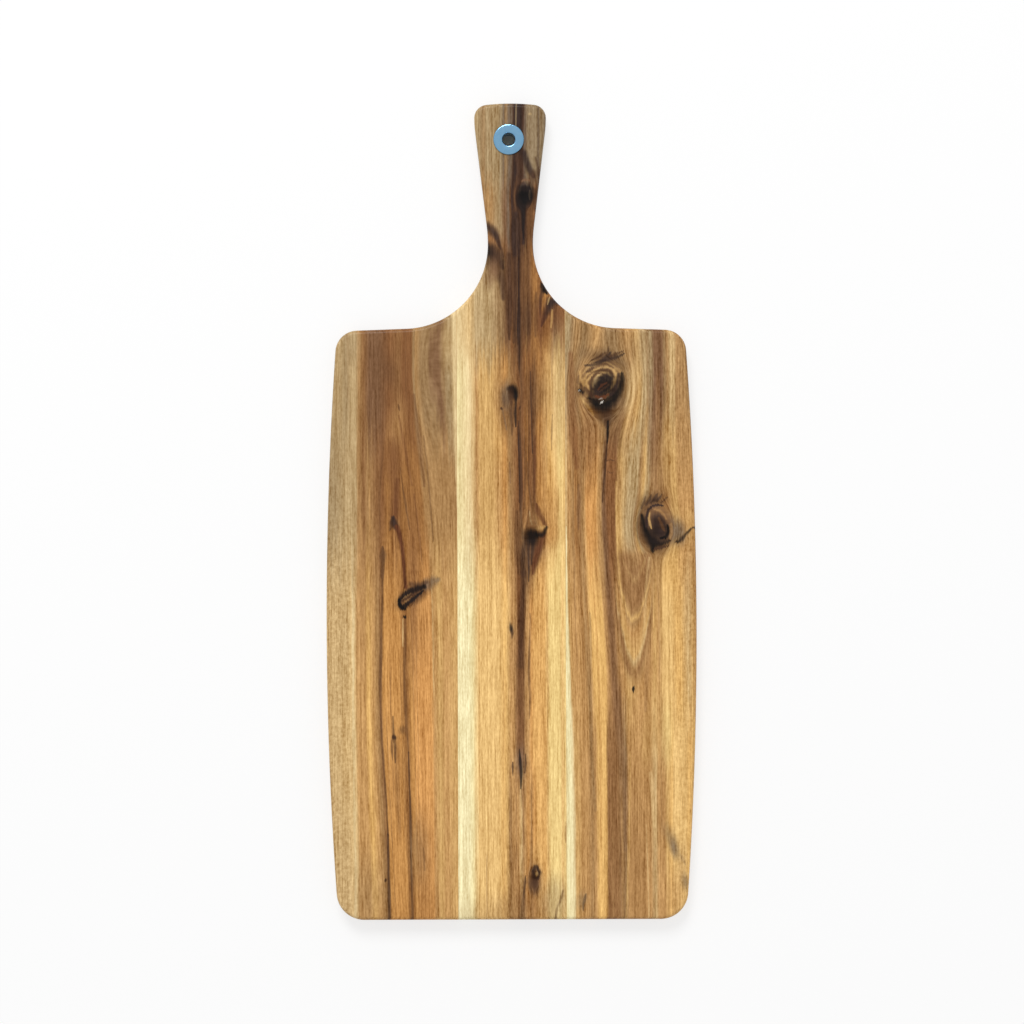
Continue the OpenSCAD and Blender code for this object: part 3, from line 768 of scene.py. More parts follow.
CENTRE_MARKS = [
    Stroke("ash", 0.7, 0.5, [(4.2, 281, 0.4), (4, 270, 0.5), (3.8, 263, 0.3)]),
    Spot((13.6, 272.5), (0.9, 0.8), "sand", 0.7, 0.5),
    Stroke("umber", 0.6, 0.8, [
        (4.5, 246, 1.6), (6, 240, 2.4), (7, 232, 2.2), (5.5, 225, 1.6), (4.5, 215, 1.2), (5, 203, 1.0),
    ]),
    Stroke("plum", 0.75, 0.8, [(9.5, 246, 1.8), (11, 240, 2.0), (13.5, 234, 2.0), (16, 229.5, 1.2)]),
    Stroke("umber", 0.5, 0.9, [
        (17.5, 243, 0.6), (19, 236, 1.0), (19.6, 228, 1.4), (17.6, 216, 1.2), (16.6, 208, 0.8),
    ]),
    Stroke("umber", 0.5, 0.95, [(16.5, 232, 2.0), (15, 227.6, 2.4), (13.6, 224, 1.6)]),
    Stroke("chestnut", 0.4, 0.95, [(8, 226.4, 0.6), (10.6, 227.4, 0.9), (13, 226.8, 0.6)]),
    Spot((8.4, 215.6), (3.6, 6.6), "soot", 0.92, 0.6, 5),
    Spot((12.4, 217.4), (3.4, 5.4), "soot", 0.88, 0.8),
    Spot((6, 211), (1.6, 4.5), "knot", 0.7, 0.9, 10),
    Spot((10.4, 221.6), (4.4, 1.6), "knot", 0.7, 0.9, -8),
    Stroke("smoke", 0.12, 0.9, [(13.4, 220.4, 0.4), (13.0, 217.6, 0.7), (13.2, 214, 0.3)]),
    Stroke("knot", 0.8, 0.8, [(8.8, 209, 1.6), (8.8, 201, 1.2), (8.6, 193, 0.8), (9.4, 186, 0.4)]),
    Spot((-12, 184), (6.5, 10), "sienna", 0.65, 0.7, 25),
    Stroke("plum", 0.75, 0.95, [
        (-16.5, 196.6, 2.2), (-13, 193.4, 2.5), (-10.2, 189.4, 2.0), (-8, 184.6, 1.3), (-6.8, 180, 0.5),
    ]),
    Stroke("umber", 0.5, 0.95, [(-8.6, 186, 0.5), (-6.4, 180.6, 0.9), (-5, 174.6, 0.5)]),
    Stroke("knot", 0.9, 0.95, [
        (-16.5, 182, 3.0), (-13.4, 177.6, 4.2), (-10.4, 174, 3.8), (-7.4, 171, 2.4), (-5.6, 167, 1.0),
    ]),
    Stroke("umber", 0.65, 0.95, [(-13, 170, 4.0), (-8.4, 165, 3.6), (-5.6, 157, 2.2), (-5, 146, 1.2)]),
    Stroke("umber", 0.45, 0.95, [
        (2.6, 206, 1.4), (2.4, 190, 2.6), (2.2, 170, 2.6), (2, 150, 2.4), (2, 132, 2.0), (2, 116, 0.8),
    ]),
    Stroke("plum", 0.5, 0.95, [(4, 204, 1.4), (4, 195, 2.8), (3.6, 185, 2.6), (3, 176, 1.4)]),
    Stroke("walnut", 0.4, 0.95, [(8.6, 182, 1.0), (8.6, 165, 1.8), (8.6, 148, 1.6), (8.6, 128, 0.8)]),
    Stroke("walnut", 0.5, 0.95, [(17.5, 150, 0.6), (17.4, 142, 2.0), (17.4, 132, 2.0), (17, 120, 0.8)]),
    Stroke("umber", 0.6, 0.95, [
        (-0.5, 176, 1.6), (-0.6, 160, 2.0), (-0.8, 145, 2.0), (-1, 130, 1.4), (-1, 118, 0.6),
    ]),
    Stroke("walnut", 0.65, 0.95, [
        (11.6, 178, 1.6), (11.8, 165, 2.2), (12, 150, 2.6), (11.8, 136, 2.6), (12, 122, 1.2),
    ]),
    Spot((31, 132), (4, 10), "rust", 0.3, 0.8),
    Stroke("ochre", 0.5, 0.7, [(23.4, 149, 0.8), (22.8, 143, 1.0), (22, 138, 0.8)]),
    Stroke("umber", 0.6, 0.95, [(22, 151, 1.2), (20.6, 146, 1.1), (20.2, 140, 0.9), (20.4, 133, 0.4)]),
    Stroke("soot", 0.9, 0.85, [
        (21.4, 156.8, 0.8), (22.4, 154, 1.8), (23.4, 151.6, 1.9), (24.8, 149.6, 0.8),
    ]),
    Stroke("plum", 0.85, 0.95, [
        (30.6, 145.4, 2.6), (27.8, 143.8, 2.8), (26, 140.2, 2.3), (24.4, 136.2, 1.8), (22.6, 131.6, 1.3),
        (21, 127, 0.5),
    ]),
    # Painted highlight: a thin pale line of light on the knot at the neck's right edge
    Stroke("straw", 0.5, 0.6, [(27, 148, 0.3), (26, 145, 0.5), (25.4, 142, 0.3)]),
    Stroke("gold", 0.5, 0.7, [(28.6, 138, 0.4), (28.2, 132, 0.7), (27.6, 126, 0.5)]),
    Spot((33, 80), (6, 34), "wheat", 0.7),
    Spot((23, 82), (6, 13), "hide", 0.5),
    Spot((26, 2), (7.5, 22), "ochre", 0.8),
    Spot((14, 82), (6.5, 13), "walnut", 0.4),
    Spot((21.5, 130), (3.4, 11), "rust", 0.4),
    Spot((-8.5, 50), (3, 15), "honey", 0.5),
    Spot((16.5, -237), (3, 8), "gold", 0.5),
    Spot((-8.5, 176), (3, 6), "umber", 0.5, 0.95, 20),
    Spot((11.5, -40), (3.4, 15), "walnut", 0.45),
    Spot((1.6, -96), (2.8, 15), "russet", 0.4),
    Spot((6.5, -270), (3.2, 10), "sienna", 0.5),
    Spot((-3.5, 70), (4, 16), "walnut", 0.5),
    Spot((-8.5, 80), (4, 9), "hide", 0.5),
    Spot((11.5, 128), (3, 14), "umber", 0.45),
    Spot((-13, 163), (4, 8), "chestnut", 0.5, 0.9, -20),
    Spot((-3.6, 79), (3.0, 8), "smoke", 0.5, 0.8),
    Spot((-4.8, 77), (1.0, 5), "umber", 0.35, 0.8, 6),
    Spot((2, 82.5), (2.8, 3.8), "soot", 0.9, 0.7),
    Spot((-0.4, 84.4), (2.2, 1.6), "knot", 0.7, 0.8, 10),
    Spot((3.4, 79.4), (1.6, 2.6), "soot", 0.8, 0.8),
    Spot((0, 79), (1.8, 4.0), "umber", 0.6),
    Stroke("knot", 0.7, 0.9, [(3.4, 79, 1.2), (3.5, 74, 0.9), (3, 67, 1.0), (3.4, 58, 0.4)]),
    Stroke("umber", 0.5, 0.9, [(0.4, 75, 0.8), (0.2, 67, 1.3), (0.8, 60, 0.9), (0.8, 52, 0.3)]),
    Stroke("smoke", 0.3, 0.9, [(-5.6, 70, 0.7), (-4.6, 64, 0.6), (-3, 56, 0.4)]),
    Spot((-6.4, 70.6), (1.0, 0.8), "umber", 0.7, 0.7),
    Spot((6.2, 71), (0.5, 1.4), "umber", 0.6, 0.5, -15),
    Stroke("umber", 0.6, 0.8, [
        (5, 62, 0.4), (5.6, 48, 0.8), (6.2, 36, 0.9), (6.6, 24, 1.1), (6.8, 12, 0.9), (6.6, 2, 0.8),
        (7.2, -8, 0.8), (7.6, -18, 1.0),
    ]),
    Stroke("walnut", 0.5, 0.8, [(8.8, 60, 0.3), (9.4, 40, 0.5), (9.6, 18, 0.4), (9.2, 2, 0.3)]),
    Stroke("plum", 0.45, 0.6, [(4.6, 58, 0.3), (5.2, 40, 0.4), (5.8, 22, 0.5), (5.6, 6, 0.3)]),
    Stroke("walnut", 0.5, 0.8, [(12.2, 76, 0.3), (12.4, 58, 0.5), (12.2, 40, 0.4), (12.8, 22, 0.3)]),
    Stroke("umber", 0.6, 0.7, [(13.4, 96, 0.4), (13.9, 70, 0.6), (14.2, 58, 0.5), (14.6, 40, 0.3)]),
    Stroke("rust", 0.45, 0.9, [
        (16.5, 52, 0.4), (16.2, 34, 0.8), (16, 18, 0.7), (15.8, 8, 0.7), (16.5, 0, 0.8),
    ]),
    Stroke("walnut", 0.6, 0.7, [
        (11.2, 34, 0.4), (11.8, 22, 0.6), (13, 10, 0.6), (14.4, 0, 0.6), (16.6, -8, 0.5),
    ]),
    Stroke("walnut", 0.45, 0.8, [(28.4, 66, 0.2), (28.2, 57, 0.6), (28, 50, 0.5), (27.8, 42, 0.2)]),
    Stroke("chestnut", 0.6, 0.6, [(-1, 34, 0.4), (-0.8, 27, 0.6), (-0.7, 19, 0.3)]),
    Spot((17, -17), (11, 20), "hide", 0.5, 0.9, -10),
    Spot((19, -24), (5, 12), "chestnut", 0.35, 0.9, -20),
    Spot((26, -15), (6, 8), "ochre", 0.75),
    Stroke("walnut", 0.5, 0.95, [(4, 0, 1.0), (4.2, -14, 1.8), (4.4, -28, 2.0), (5.4, -42, 1.4)]),
    Spot((12, -6), (4.0, 7), "russet", 0.6, 0.8),
    Stroke("sand", 0.5, 0.8, [(12.6, 0, 0.4), (13, -5, 0.7), (14, -9, 0.5)]),
    Stroke("walnut", 0.5, 0.8, [(11.9, 1, 0.3), (11.3, -6, 0.4), (10.6, -12, 0.5)]),
    Stroke("rust", 0.6, 0.9, [(17.4, 5, 0.7), (18.8, -1, 1.8), (20.8, -5, 1.7), (23.4, -9.5, 1.0)]),
    Stroke("gold", 0.7, 0.8, [(17.4, -12, 0.9), (20, -11.4, 1.2), (22.6, -10.4, 0.8)]),
    Spot((13, -26), (5.5, 13), "umber", 0.6, 0.9, -10),
    Stroke("rust", 0.7, 0.95, [
        (21.8, -16, 1.8), (20, -22, 2.3), (17.6, -29, 2.1), (15.6, -36, 1.8), (14.6, -43, 0.8),
    ]),
    Stroke("plum", 0.4, 0.95, [(9.6, -18, 1.5), (8.4, -25, 1.4), (7.6, -33, 1.2), (8.4, -44, 1.4)]),
    Stroke("plum", 0.5, 0.95, [(11.6, -19, 1.4), (11.6, -27, 0.9), (11.8, -36, 0.6), (11.8, -48, 0.2)]),
    Stroke("plum", 0.45, 0.95, [(14.4, -20, 1.5), (14.2, -27, 1.1), (13.6, -36, 0.6)]),
    Stroke("chestnut", 0.3, 0.9, [(13, -22, 0.4), (12.9, -29, 0.5), (12.8, -37, 0.3)]),
    Spot((14, -15.4), (4.4, 2.9), "knot", 0.9, 0.9, -10),
    Spot((14.2, -19.2), (2.8, 3.4), "knot", 0.85, 0.95),
    Stroke("soot", 0.7, 0.9, [(18, -15.8, 1.4), (20.6, -16.4, 1.3), (22.6, -13.8, 1.3), (24, -11.2, 0.9)]),
    Stroke("umber", 0.6, 0.9, [
        (8.4, -42, 1.8), (8.4, -50, 1.8), (7.6, -60, 1.8), (6.8, -72, 1.9), (6.6, -90, 1.9),
        (6.2, -106, 1.9),
    ]),
    Stroke("walnut", 0.35, 0.95, [(6.2, -104, 2.4), (6, -130, 2.6), (5.8, -150, 2.4), (5.6, -166, 1.8)]),
    Stroke("walnut", 0.5, 0.8, [
        (12.6, -70, 0.4), (12.5, -90, 0.7), (11.6, -110, 0.8), (12.4, -126, 0.8), (12, -142, 0.3),
    ]),
    Spot((0.6, -81), (2.4, 4.5), "hide", 0.6, 0.8, 10),
    Spot((-0.2, -80.4), (1.1, 2.8), "knot", 0.8, 0.9, 8),
    Spot((0.5, -84), (0.7, 2.6), "umber", 0.6, 0.95, -8),
    Spot((6, -171), (3.6, 9), "smoke", 0.3),
    Stroke("knot", 0.75, 0.8, [(5.2, -163, 0.4), (5.6, -171, 1.0), (6, -179, 0.8), (6, -190, 0.4)]),
    Stroke("umber", 0.7, 0.8, [(0.4, -172, 0.4), (0.4, -175, 0.8), (0.6, -181, 0.3)]),
    Stroke("umber", 0.7, 0.6, [(9.2, -166, 0.4), (9.3, -173, 0.7), (8.8, -179, 0.4)]),
    Spot((15.4, -253), (4.2, 9.5), "chestnut", 0.65, 0.8),
    Stroke("plum", 0.75, 0.9, [
        (15.6, -243.6, 1.2), (14.2, -246.5, 1.4), (14.8, -250.6, 1.4), (17.2, -251.2, 1.1),
        (18.4, -247.6, 1.1), (16.8, -243.8, 1.0),
    ]),
    # Painted highlight: the pale spot of light in the middle of the ringed knot
    Spot((16.6, -248.4), (0.7, 1.1), "straw", 0.7, 0.8, 15),
    Spot((14.8, -256), (3.0, 6.2), "umber", 0.8, 0.8, 8),
    Stroke("umber", 0.65, 0.8, [
        (8.9, -250, 0.4), (8.8, -254, 0.9), (8.2, -260, 0.6), (7.4, -267, 0.9), (6.6, -275, 1.4),
        (6, -281, 2.0),
    ]),
    Spot((0, -280), (36, 13), "hide", 0.45, 0.8),
    Spot((15, -271), (6, 9), "russet", 0.6),
    Spot((-4, -271), (8, 9), "hide", 0.4),
    Spot((29, -266), (9, 15), "drab", 0.6, 0.6),
    Stroke("walnut", 0.4, 0.9, [(34.4, -260, 0.5), (33.4, -265, 0.8), (31, -271, 0.8), (29.4, -279, 1.0)]),
    Stroke("copper", 0.6, 0.7, [(36.7, -213, 0.3), (36.4, -221, 0.7), (36.6, -227, 0.3)]),
]

CENTRE_STAVE = Recipe(
    seed=11.0,
    lean=-0.2,
    low_x=-40,
    high_x=40,
    grain=(1.15, 0.9),
    figure=None,
    bends=[],
    partings=[
        Parting((14, -18), 5.0, 2.2),
        Parting((1.5, 81), 3.5, 2.0),
        Parting((10, 216), 5.0, 1.6),
        Parting((15, -252), 3.2, 2.0),
    ],
    bands=[
        Bands(0, 0, [
            (-37, "white_cream"), (-29.5, "white_cream"), (-27, "cream"), (-22.5, "butter"), (-9, "butter"),
            (-5.5, "honey"), (-3, "gold"), (-1, "hide"), (0.8, "biscuit"), (3, "biscuit"), (4.8, "tan"),
            (6.3, "straw"), (7.4, "hide"), (9, "biscuit"), (11, "amber"), (13, "biscuit"), (15, "amber"),
            (17, "maple"), (22.5, "maple"), (26.5, "custard"), (33, "custard"), (35, "butter"),
            (37, "custard"),
        ]),
        Bands(-205, -165, [
            (-37, "white_cream"), (-29.5, "white_cream"), (-27, "cream"), (-22.5, "butter"), (-9, "butter"),
            (-5, "honey"), (-2.5, "gold"), (-0.5, "tan"), (1.5, "biscuit"), (3.2, "russet"),
            (4.6, "sienna"), (7.2, "sienna"), (8.6, "russet"), (10.2, "biscuit"), (11.6, "biscuit"),
            (13, "amber"), (16, "maple"), (22.5, "maple"), (26.5, "custard"), (33, "custard"),
            (35, "butter"), (37, "custard"),
        ]),
        Bands(-75, 5, [
            (-37, "cream"), (-28.5, "vanilla"), (-26, "straw"), (-23.8, "biscuit"), (-21, "gold"),
            (-13, "gold"), (-8, "tan"), (-4, "amber"), (-1, "hide"), (2, "russet"), (4.5, "sienna"),
            (6.5, "walnut"), (8.5, "sienna"), (11, "copper"), (13.5, "sienna"), (16, "walnut"),
            (18, "copper"), (20, "ochre"), (22.5, "tan"), (27, "honey"), (30, "butter"), (33, "custard"),
            (37, "butter"),
        ]),
        Bands(85, 125, [
            (-37, "vanilla"), (-28, "straw"), (-24, "sand"), (-15, "sand"), (-9, "fawn"), (-6.6, "fawn"),
            (-3, "walnut"), (-1, "chestnut"), (1, "sienna"), (2.5, "walnut"), (3.6, "umber"), (5, "plum"),
            (6.4, "umber"), (7.6, "walnut"), (9.2, "sienna"), (10.8, "copper"), (12, "sienna"),
            (14, "copper"), (17.5, "copper"), (20.4, "sienna"), (22, "copper"), (25, "copper"),
            (28, "sienna"), (30, "walnut"), (33, "sienna"), (37, "sienna"),
        ]),
        Bands(165, 190, [
            (-18, "hide"), (-13, "hide"), (-8, "drab"), (-3.5, "chestnut"), (-1, "smoke"), (0.4, "walnut"),
            (1.6, "plum"), (3.6, "umber"), (5, "walnut"), (6.6, "umber"), (8.2, "umber"), (9.4, "plum"),
            (10.6, "umber"), (12, "walnut"), (14, "walnut"), (16, "sienna"),
        ]),
        Bands(212, 238, [
            (-26, "sand"), (-21.5, "drab"), (-18, "fawn"), (-15.5, "drab"), (-11, "drab"), (-8, "drab"),
            (-5.4, "ash"), (-4.4, "smoke"), (-3.2, "fawn"), (-0.8, "smoke"), (0.8, "smoke"), (1.8, "umber"),
            (3, "plum"), (5, "plum"), (7, "plum"), (9, "umber"), (10.2, "smoke"), (12, "ash"), (16, "ash"),
            (18.4, "ash"), (19.4, "smoke"), (20.6, "ash"), (22.5, "ash"), (24.5, "smoke"),
        ]),
    ],
    arches=[],
    streaks=[
        Streak(-1, 1.4, -250, -178, 12, "russet", 0.3),
        Streak(7.5, 1.0, -225, -190, 8, "russet", 0.6),
        Streak(13, 0.8, -245, -195, 10, "russet", 0.5),
        Streak(2.8, 0.6, -240, -190, 10, "russet", 0.4),
        Streak(2, 6.5, -290, -240, 18, "russet", 0.35),
        Streak(24.4, 0.7, -240, -60, 12, "tan", 0.6),
        Streak(-17.5, 0.7, -280, -238, 6, "hide", 0.6),
        Streak(-22.5, 0.8, -180, -60, 20, "gold", 0.5),
        Streak(-11, 0.5, -170, -90, 20, "gold", 0.5),
        Streak(-5.5, 0.6, -260, -120, 25, "tan", 0.5),
        Streak(20, 0.6, 20, 75, 10, "sienna", 0.5),
        Streak(24.5, 0.5, 20, 75, 10, "hide", 0.6),
        Streak(11, 0.5, 20, 110, 15, "walnut", 0.6),
        Streak(9, 0.4, 30, 90, 15, "sienna", 0.6),
        Streak(28.3, 0.6, 95, 128, 8, "sienna", 0.6),
        Streak(10.5, 0.5, 120, 175, 15, "gold", 0.3),
        Streak(1, 0.5, 130, 170, 12, "copper", 0.5),
        Streak(2.2, 0.4, 130, 215, 15, "plum", 0.6),
        Streak(6, 0.5, 105, 200, 15, "knot", 0.6),
        Streak(8.8, 0.5, 130, 210, 15, "plum", 0.6),
        Streak(4.3, 0.4, 110, 190, 15, "russet", 0.5),
        Streak(12.4, 0.5, 140, 200, 15, "walnut", 0.6),
        Streak(-14, 0.5, 225, 280, 15, "fawn", 0.5),
    ],
    marks=CENTRE_MARKS,
)

RIGHT_MARKS = [
    Spot((81, -240), (13, 50), "russet", 0.35, 0.7),
    Spot((99, -148), (6, 22), "gold", 0.6),
    Spot((106.5, -152), (3.2, 20), "custard", 0.6),
    Spot((91.5, -160), (3, 13), "gold", 0.5),
    Spot((51.5, -142), (3, 14), "tan", 0.6),
    Spot((111, -265), (8, 18), "tan", 0.65, 0.8),
    Stroke("white_cream", 0.85, 0.5, [
        (37.6, -10, 0.1), (37.8, -50, 0.6), (38.1, -85, 1.3), (38.6, -120, 1.9), (39.4, -160, 2.2),
        (40.4, -220, 2.4), (41, -281, 2.4),
    ]),
    Spot((121, -62), (5, 34), "hide", 0.3),
    Spot((54, 52), (6.5, 32), "russet", 0.9, 0.7, -3),
    Spot((85, 109), (6, 22), "fawn", 0.65),
    Spot((105.5, 22), (3.4, 22), "russet", 0.5),
    Spot((73.5, 50), (5, 13), "walnut", 0.4),
    Spot((72, 20), (3, 15), "sienna", 0.4),
    Spot((96.5, 52), (2.8, 28), "chestnut", 0.45),
    Spot((79, -31), (6, 10), "russet", 0.45),
    Spot((61, -38), (4, 18), "hide", 0.4),
    Spot((121.5, -14), (4.5, 8), "gold", 0.5),
    Spot((118, 44), (6, 26), "hide", 0.6),
    Spot((83, 84), (3.5, 16), "straw", 0.8, 0.8, -8),
    Spot((109, -42), (6, 16), "honey", 0.6, 0.7),
    Spot((121.5, -4), (4, 5), "gold", 0.5),
    Stroke("chestnut", 0.4, 0.9, [
        (63.5, 30, 0.7), (63, 10, 1.2), (64, -10, 1.4), (65.5, -35, 1.5), (67.5, -65, 1.8),
        (69.3, -95, 2.0), (71, -120, 2.2), (73.5, -145, 2.6), (76, -170, 2.6), (77.3, -200, 1.6),
        (77.5, -232, 1.0),
    ]),
    Stroke("gold", 0.55, 0.8, [
        (72, 20, 0.5), (72.2, -10, 0.6), (73, -32, 0.7), (75.2, -56, 0.7), (78.5, -80, 0.8),
        (81.5, -97, 1.0),
    ]),
    Stroke("straw", 0.4, 0.8, [
        (94.5, -32, 0.6), (92, -50, 0.8), (91.5, -70, 0.8), (90, -88, 0.8), (87.5, -100, 0.8),
    ]),
    Stroke("russet", 0.5, 0.8, [(73.5, -62, 0.6), (75, -82, 1.0), (77.5, -100, 1.2), (81, -112, 0.8)]),
    Stroke("russet", 0.5, 0.8, [
        (97.5, -32, 0.8), (97, -50, 1.0), (96, -70, 1.0), (94.5, -90, 1.2), (92.5, -110, 1.6),
        (91.4, -137, 0.8),
    ]),
    Stroke("gold", 0.6, 0.6, [(81, -165, 0.5), (80.5, -200, 0.6), (79.5, -240, 0.7), (78, -279, 0.6)]),
    Stroke("straw", 0.5, 0.7, [(95, -180, 1.2), (96.5, -200, 1.5), (98, -225, 0.8)]),
    Stroke("straw", 0.5, 0.6, [(92, -215, 0.4), (93, -250, 0.5), (93.5, -279, 0.4)]),
    Stroke("fawn", 0.5, 0.8, [
        (53.5, -70, 0.6), (53.8, -100, 1.2), (53.6, -125, 1.0), (54, -150, 1.0), (55, -175, 1.0),
        (57, -205, 0.8),
    ]),
    Stroke("chestnut", 0.4, 0.9, [(46, 18, 0.5), (46.2, 6, 1.3), (46, -2, 1.2), (46, -12, 0.5)]),
    Stroke("umber", 0.6, 0.8, [
        (66, 48, 0.6), (65, 38, 0.6), (64.4, 30, 0.5), (63.5, 20, 0.4), (62.6, 6, 0.2),
    ]),
    Stroke("umber", 0.4, 0.6, [(65.5, 34.5, 0.3), (68, 35.3, 0.4), (70.8, 34.4, 0.3)]),
    Stroke("umber", 0.4, 0.6, [(66, 27, 0.3), (68, 26.2, 0.4), (70.2, 26.4, 0.3)]),
    Stroke("sienna", 0.65, 0.95, [
        (41, 108, 1.4), (42, 90, 2.2), (42.2, 70, 2.6), (42.6, 50, 2.6), (45, 30, 1.2),
    ]),
    Spot((60, 90), (19, 30), "fawn", 0.45, 0.6, 5),
    Spot((62, 84), (16, 18), "walnut", 0.25, 0.5, 15),
    Spot((49, 85), (5, 12), "russet", 0.4, 0.9, 10),
    Spot((63, 105), (12, 4.5), "umber", 0.4, 0.95, -16),
    Spot((65, 98.5), (6, 8), "umber", 0.45),
    Stroke("umber", 0.7, 0.9, [(64.6, 74, 9.0), (65.2, 67, 5.0), (66, 58, 1.4)]),
    Rings((61.5, 88), (15.5, 13.5), 20, 0.35, 4.8, "gold", "walnut", 0.55),
    Stroke("umber", 0.65, 0.9, [
        (55, 80, 0.8), (54.8, 88, 1.0), (58, 94.6, 1.0), (63, 97.2, 1.1), (67.4, 96, 1.0),
        (70.4, 92.6, 0.8),
    ]),
    Stroke("umber", 0.6, 0.9, [(52, 95.6, 0.6), (54, 96.6, 1.2), (57, 98.4, 0.6)]),
    Stroke("straw", 0.5, 0.8, [(56.8, 86, 0.5), (58, 90.5, 0.8), (60, 93, 0.7), (62, 94.2, 0.3)]),
    Stroke("plum", 0.6, 0.9, [(61.6, 91.6, 0.9), (65.4, 92.8, 1.7), (69.4, 91, 1.0)]),
    Stroke("gold", 0.5, 0.9, [(47.4, 96, 0.6), (48, 90, 0.9), (50.5, 86, 0.8), (52, 90, 0.6)]),
    Stroke("gold", 0.45, 0.9, [(70.8, 97, 0.8), (72, 92, 0.9), (71.4, 87, 0.5)]),
    Stroke("gold", 0.5, 0.9, [(47.6, 79, 0.6), (50, 75, 1.0), (53.5, 71, 1.0), (56.5, 66, 0.6)]),
    Stroke("soot", 0.85, 0.9, [
        (76, 94.5, 0.8), (76.4, 90, 1.6), (74.8, 84.5, 2.6), (72, 79.5, 3.2), (68, 75.4, 3.8),
        (63, 72.8, 3.8), (58.4, 74.4, 3.2), (54.4, 77.8, 1.8),
    ]),
    Stroke("plum", 0.75, 0.9, [(73.8, 94, 0.8), (73.4, 89, 1.2), (71.6, 84, 1.4), (68.6, 80, 1.0)]),
    Spot((63.4, 86.2), (6.2, 8.4), "knot", 0.93, 0.5, -42),
    Spot((58.6, 81), (3.0, 3.6), "plum", 0.6, 0.95),
    Stroke("umber", 0.55, 0.95, [(55.4, 79, 1.2), (52.6, 81.6, 1.7), (50.4, 84.4, 0.8)]),
    Spot((48, 83), (2.4, 3.6), "umber", 0.5, 0.95),
    Stroke("rust", 0.35, 0.8, [(60, 83.5, 0.5), (62.4, 86.6, 0.8), (66, 88.6, 0.5)]),
    Stroke("umber", 0.35, 0.8, [(61, 82.4, 0.4), (64, 84.6, 0.7), (67.4, 87, 0.4)]),
    Stroke("rust", 0.8, 0.7, [(58, 79.4, 0.7), (61, 78.4, 0.9), (64.4, 78.8, 1.1), (67, 80.4, 0.6)]),
    # Painted highlight: two pale spots of light on the big knot's glossy hollow
    Stroke("painted_highlight", 0.9, 0.6, [(61.4, 73.8, 0.3), (62.3, 75, 0.7), (63.4, 76, 0.3)]),
    Stroke("painted_highlight", 0.4, 0.8, [(60.6, 77, 0.3), (61.8, 77.8, 0.6), (62.8, 78, 0.3)]),
    Stroke("soot", 0.7, 0.9, [(46.6, 83.6, 0.6), (47.8, 82.6, 1.1), (49.4, 81.6, 1.0)]),
    # Painted highlight: a speck of light on the small knot
    Spot((46.8, 83), (0.6, 0.6), "painted_highlight", 0.35, 0.6),
    Stroke("umber", 0.35, 0.9, [(46.4, 93, 0.5), (46, 88.5, 0.9), (48.6, 86, 0.5)]),
    Stroke("plum", 0.55, 0.9, [(50.6, 100, 0.5), (56, 100, 0.9), (61, 101.4, 1.0), (64.6, 103.6, 0.6)]),
    Stroke("plum", 0.6, 0.9, [(57, 101.6, 0.4), (62, 103, 1.1), (65.6, 105.4, 1.4), (68.4, 108.6, 0.5)]),
    Stroke("umber", 0.5, 0.9, [(55, 103.4, 0.4), (60, 105.2, 0.9), (64.6, 108.4, 0.5)]),
    Stroke("plum", 0.55, 0.9, [(64, 102.6, 0.6), (68.6, 104.6, 1.3), (73.4, 105.8, 1.0), (78, 108, 0.4)]),
    Stroke("umber", 0.5, 0.9, [(67.6, 106, 0.5), (72, 107.8, 0.9), (77, 109.6, 0.4)]),
    Stroke("umber", 0.5, 0.9, [(66, 107, 0.5), (66.8, 110, 0.7), (67.2, 113, 0.3)]),
    Stroke("soot", 0.8, 0.8, [(66.6, 61.5, 0.7), (66.3, 54, 0.9), (66, 46.5, 0.4)]),
    Spot((99, -8), (14, 19), "walnut", 0.25, 0.8, 15),
    Spot((106.5, 8), (3.5, 7), "copper", 0.55, 0.7),
    Spot((96, 6.5), (8, 4.5), "umber", 0.4, 0.95, 18),
    Stroke("umber", 0.45, 0.9, [(89.4, 2, 0.5), (91.2, 6, 0.8), (92, 10, 0.4)]),
    Stroke("plum", 0.5, 0.9, [(92.6, 4.4, 0.8), (95, 7.6, 1.0), (96, 11.6, 0.4)]),
    Stroke("plum", 0.55, 0.9, [(96, 5.6, 0.9), (98.6, 8.4, 1.2), (100, 11.8, 0.4)]),
    Stroke("plum", 0.5, 0.9, [(99.4, 6.6, 0.8), (101.8, 9, 0.9), (103.4, 11.4, 0.3)]),
    Stroke("umber", 0.45, 0.9, [(102.6, 5.4, 0.6), (105.2, 7.6, 0.6), (107, 9.6, 0.3)]),
    Spot((97, -13), (10, 14), "umber", 0.65, 0.6, 25),
    Spot((113, -14), (5.4, 7.4), "smoke", 0.75, 0.9, 20),
    Stroke("knot", 0.65, 0.9, [
        (112.6, -21.4, 0.6), (115.4, -20.6, 1.0), (118.4, -17.6, 1.1), (121.4, -14, 0.6), (124, -11.6, 0.5),
        (127, -10, 0.5),
    ]),
    Stroke("soot", 0.85, 0.95, [
        (89.6, -3, 1.1), (91, -8, 2.1), (93, -12.6, 2.7), (95.6, -17.4, 3.3), (98, -21.8, 3.3),
        (97, -26.6, 1.4),
    ]),
    Stroke("knot", 0.85, 0.8, [(97.6, -20, 2.6), (102, -21, 2.4), (106, -20.8, 1.6), (108.6, -20, 0.7)]),
    Stroke("umber", 0.8, 0.8, [(98, -26.4, 0.6), (102.6, -24.8, 1.0), (107.4, -23.6, 0.5)]),
    Spot((101, -7.6), (7.0, 11.4), "chestnut", 0.55, 0.4, 24),
    Stroke("plum", 0.85, 0.7, [
        (93, -10, 0.8), (92.8, -4, 0.8), (94, 1, 0.7), (96.6, 3.2, 0.8), (100, 4.2, 0.8), (104, 3.6, 0.5),
    ]),
    Stroke("biscuit", 0.5, 0.8, [(98, 1.2, 0.5), (101.6, 0.4, 0.9), (104.6, -2.6, 0.8), (106.6, -6, 0.5)]),
    Spot((101.6, -10.4), (5.2, 8.8), "plum", 0.8, 0.4, 24),
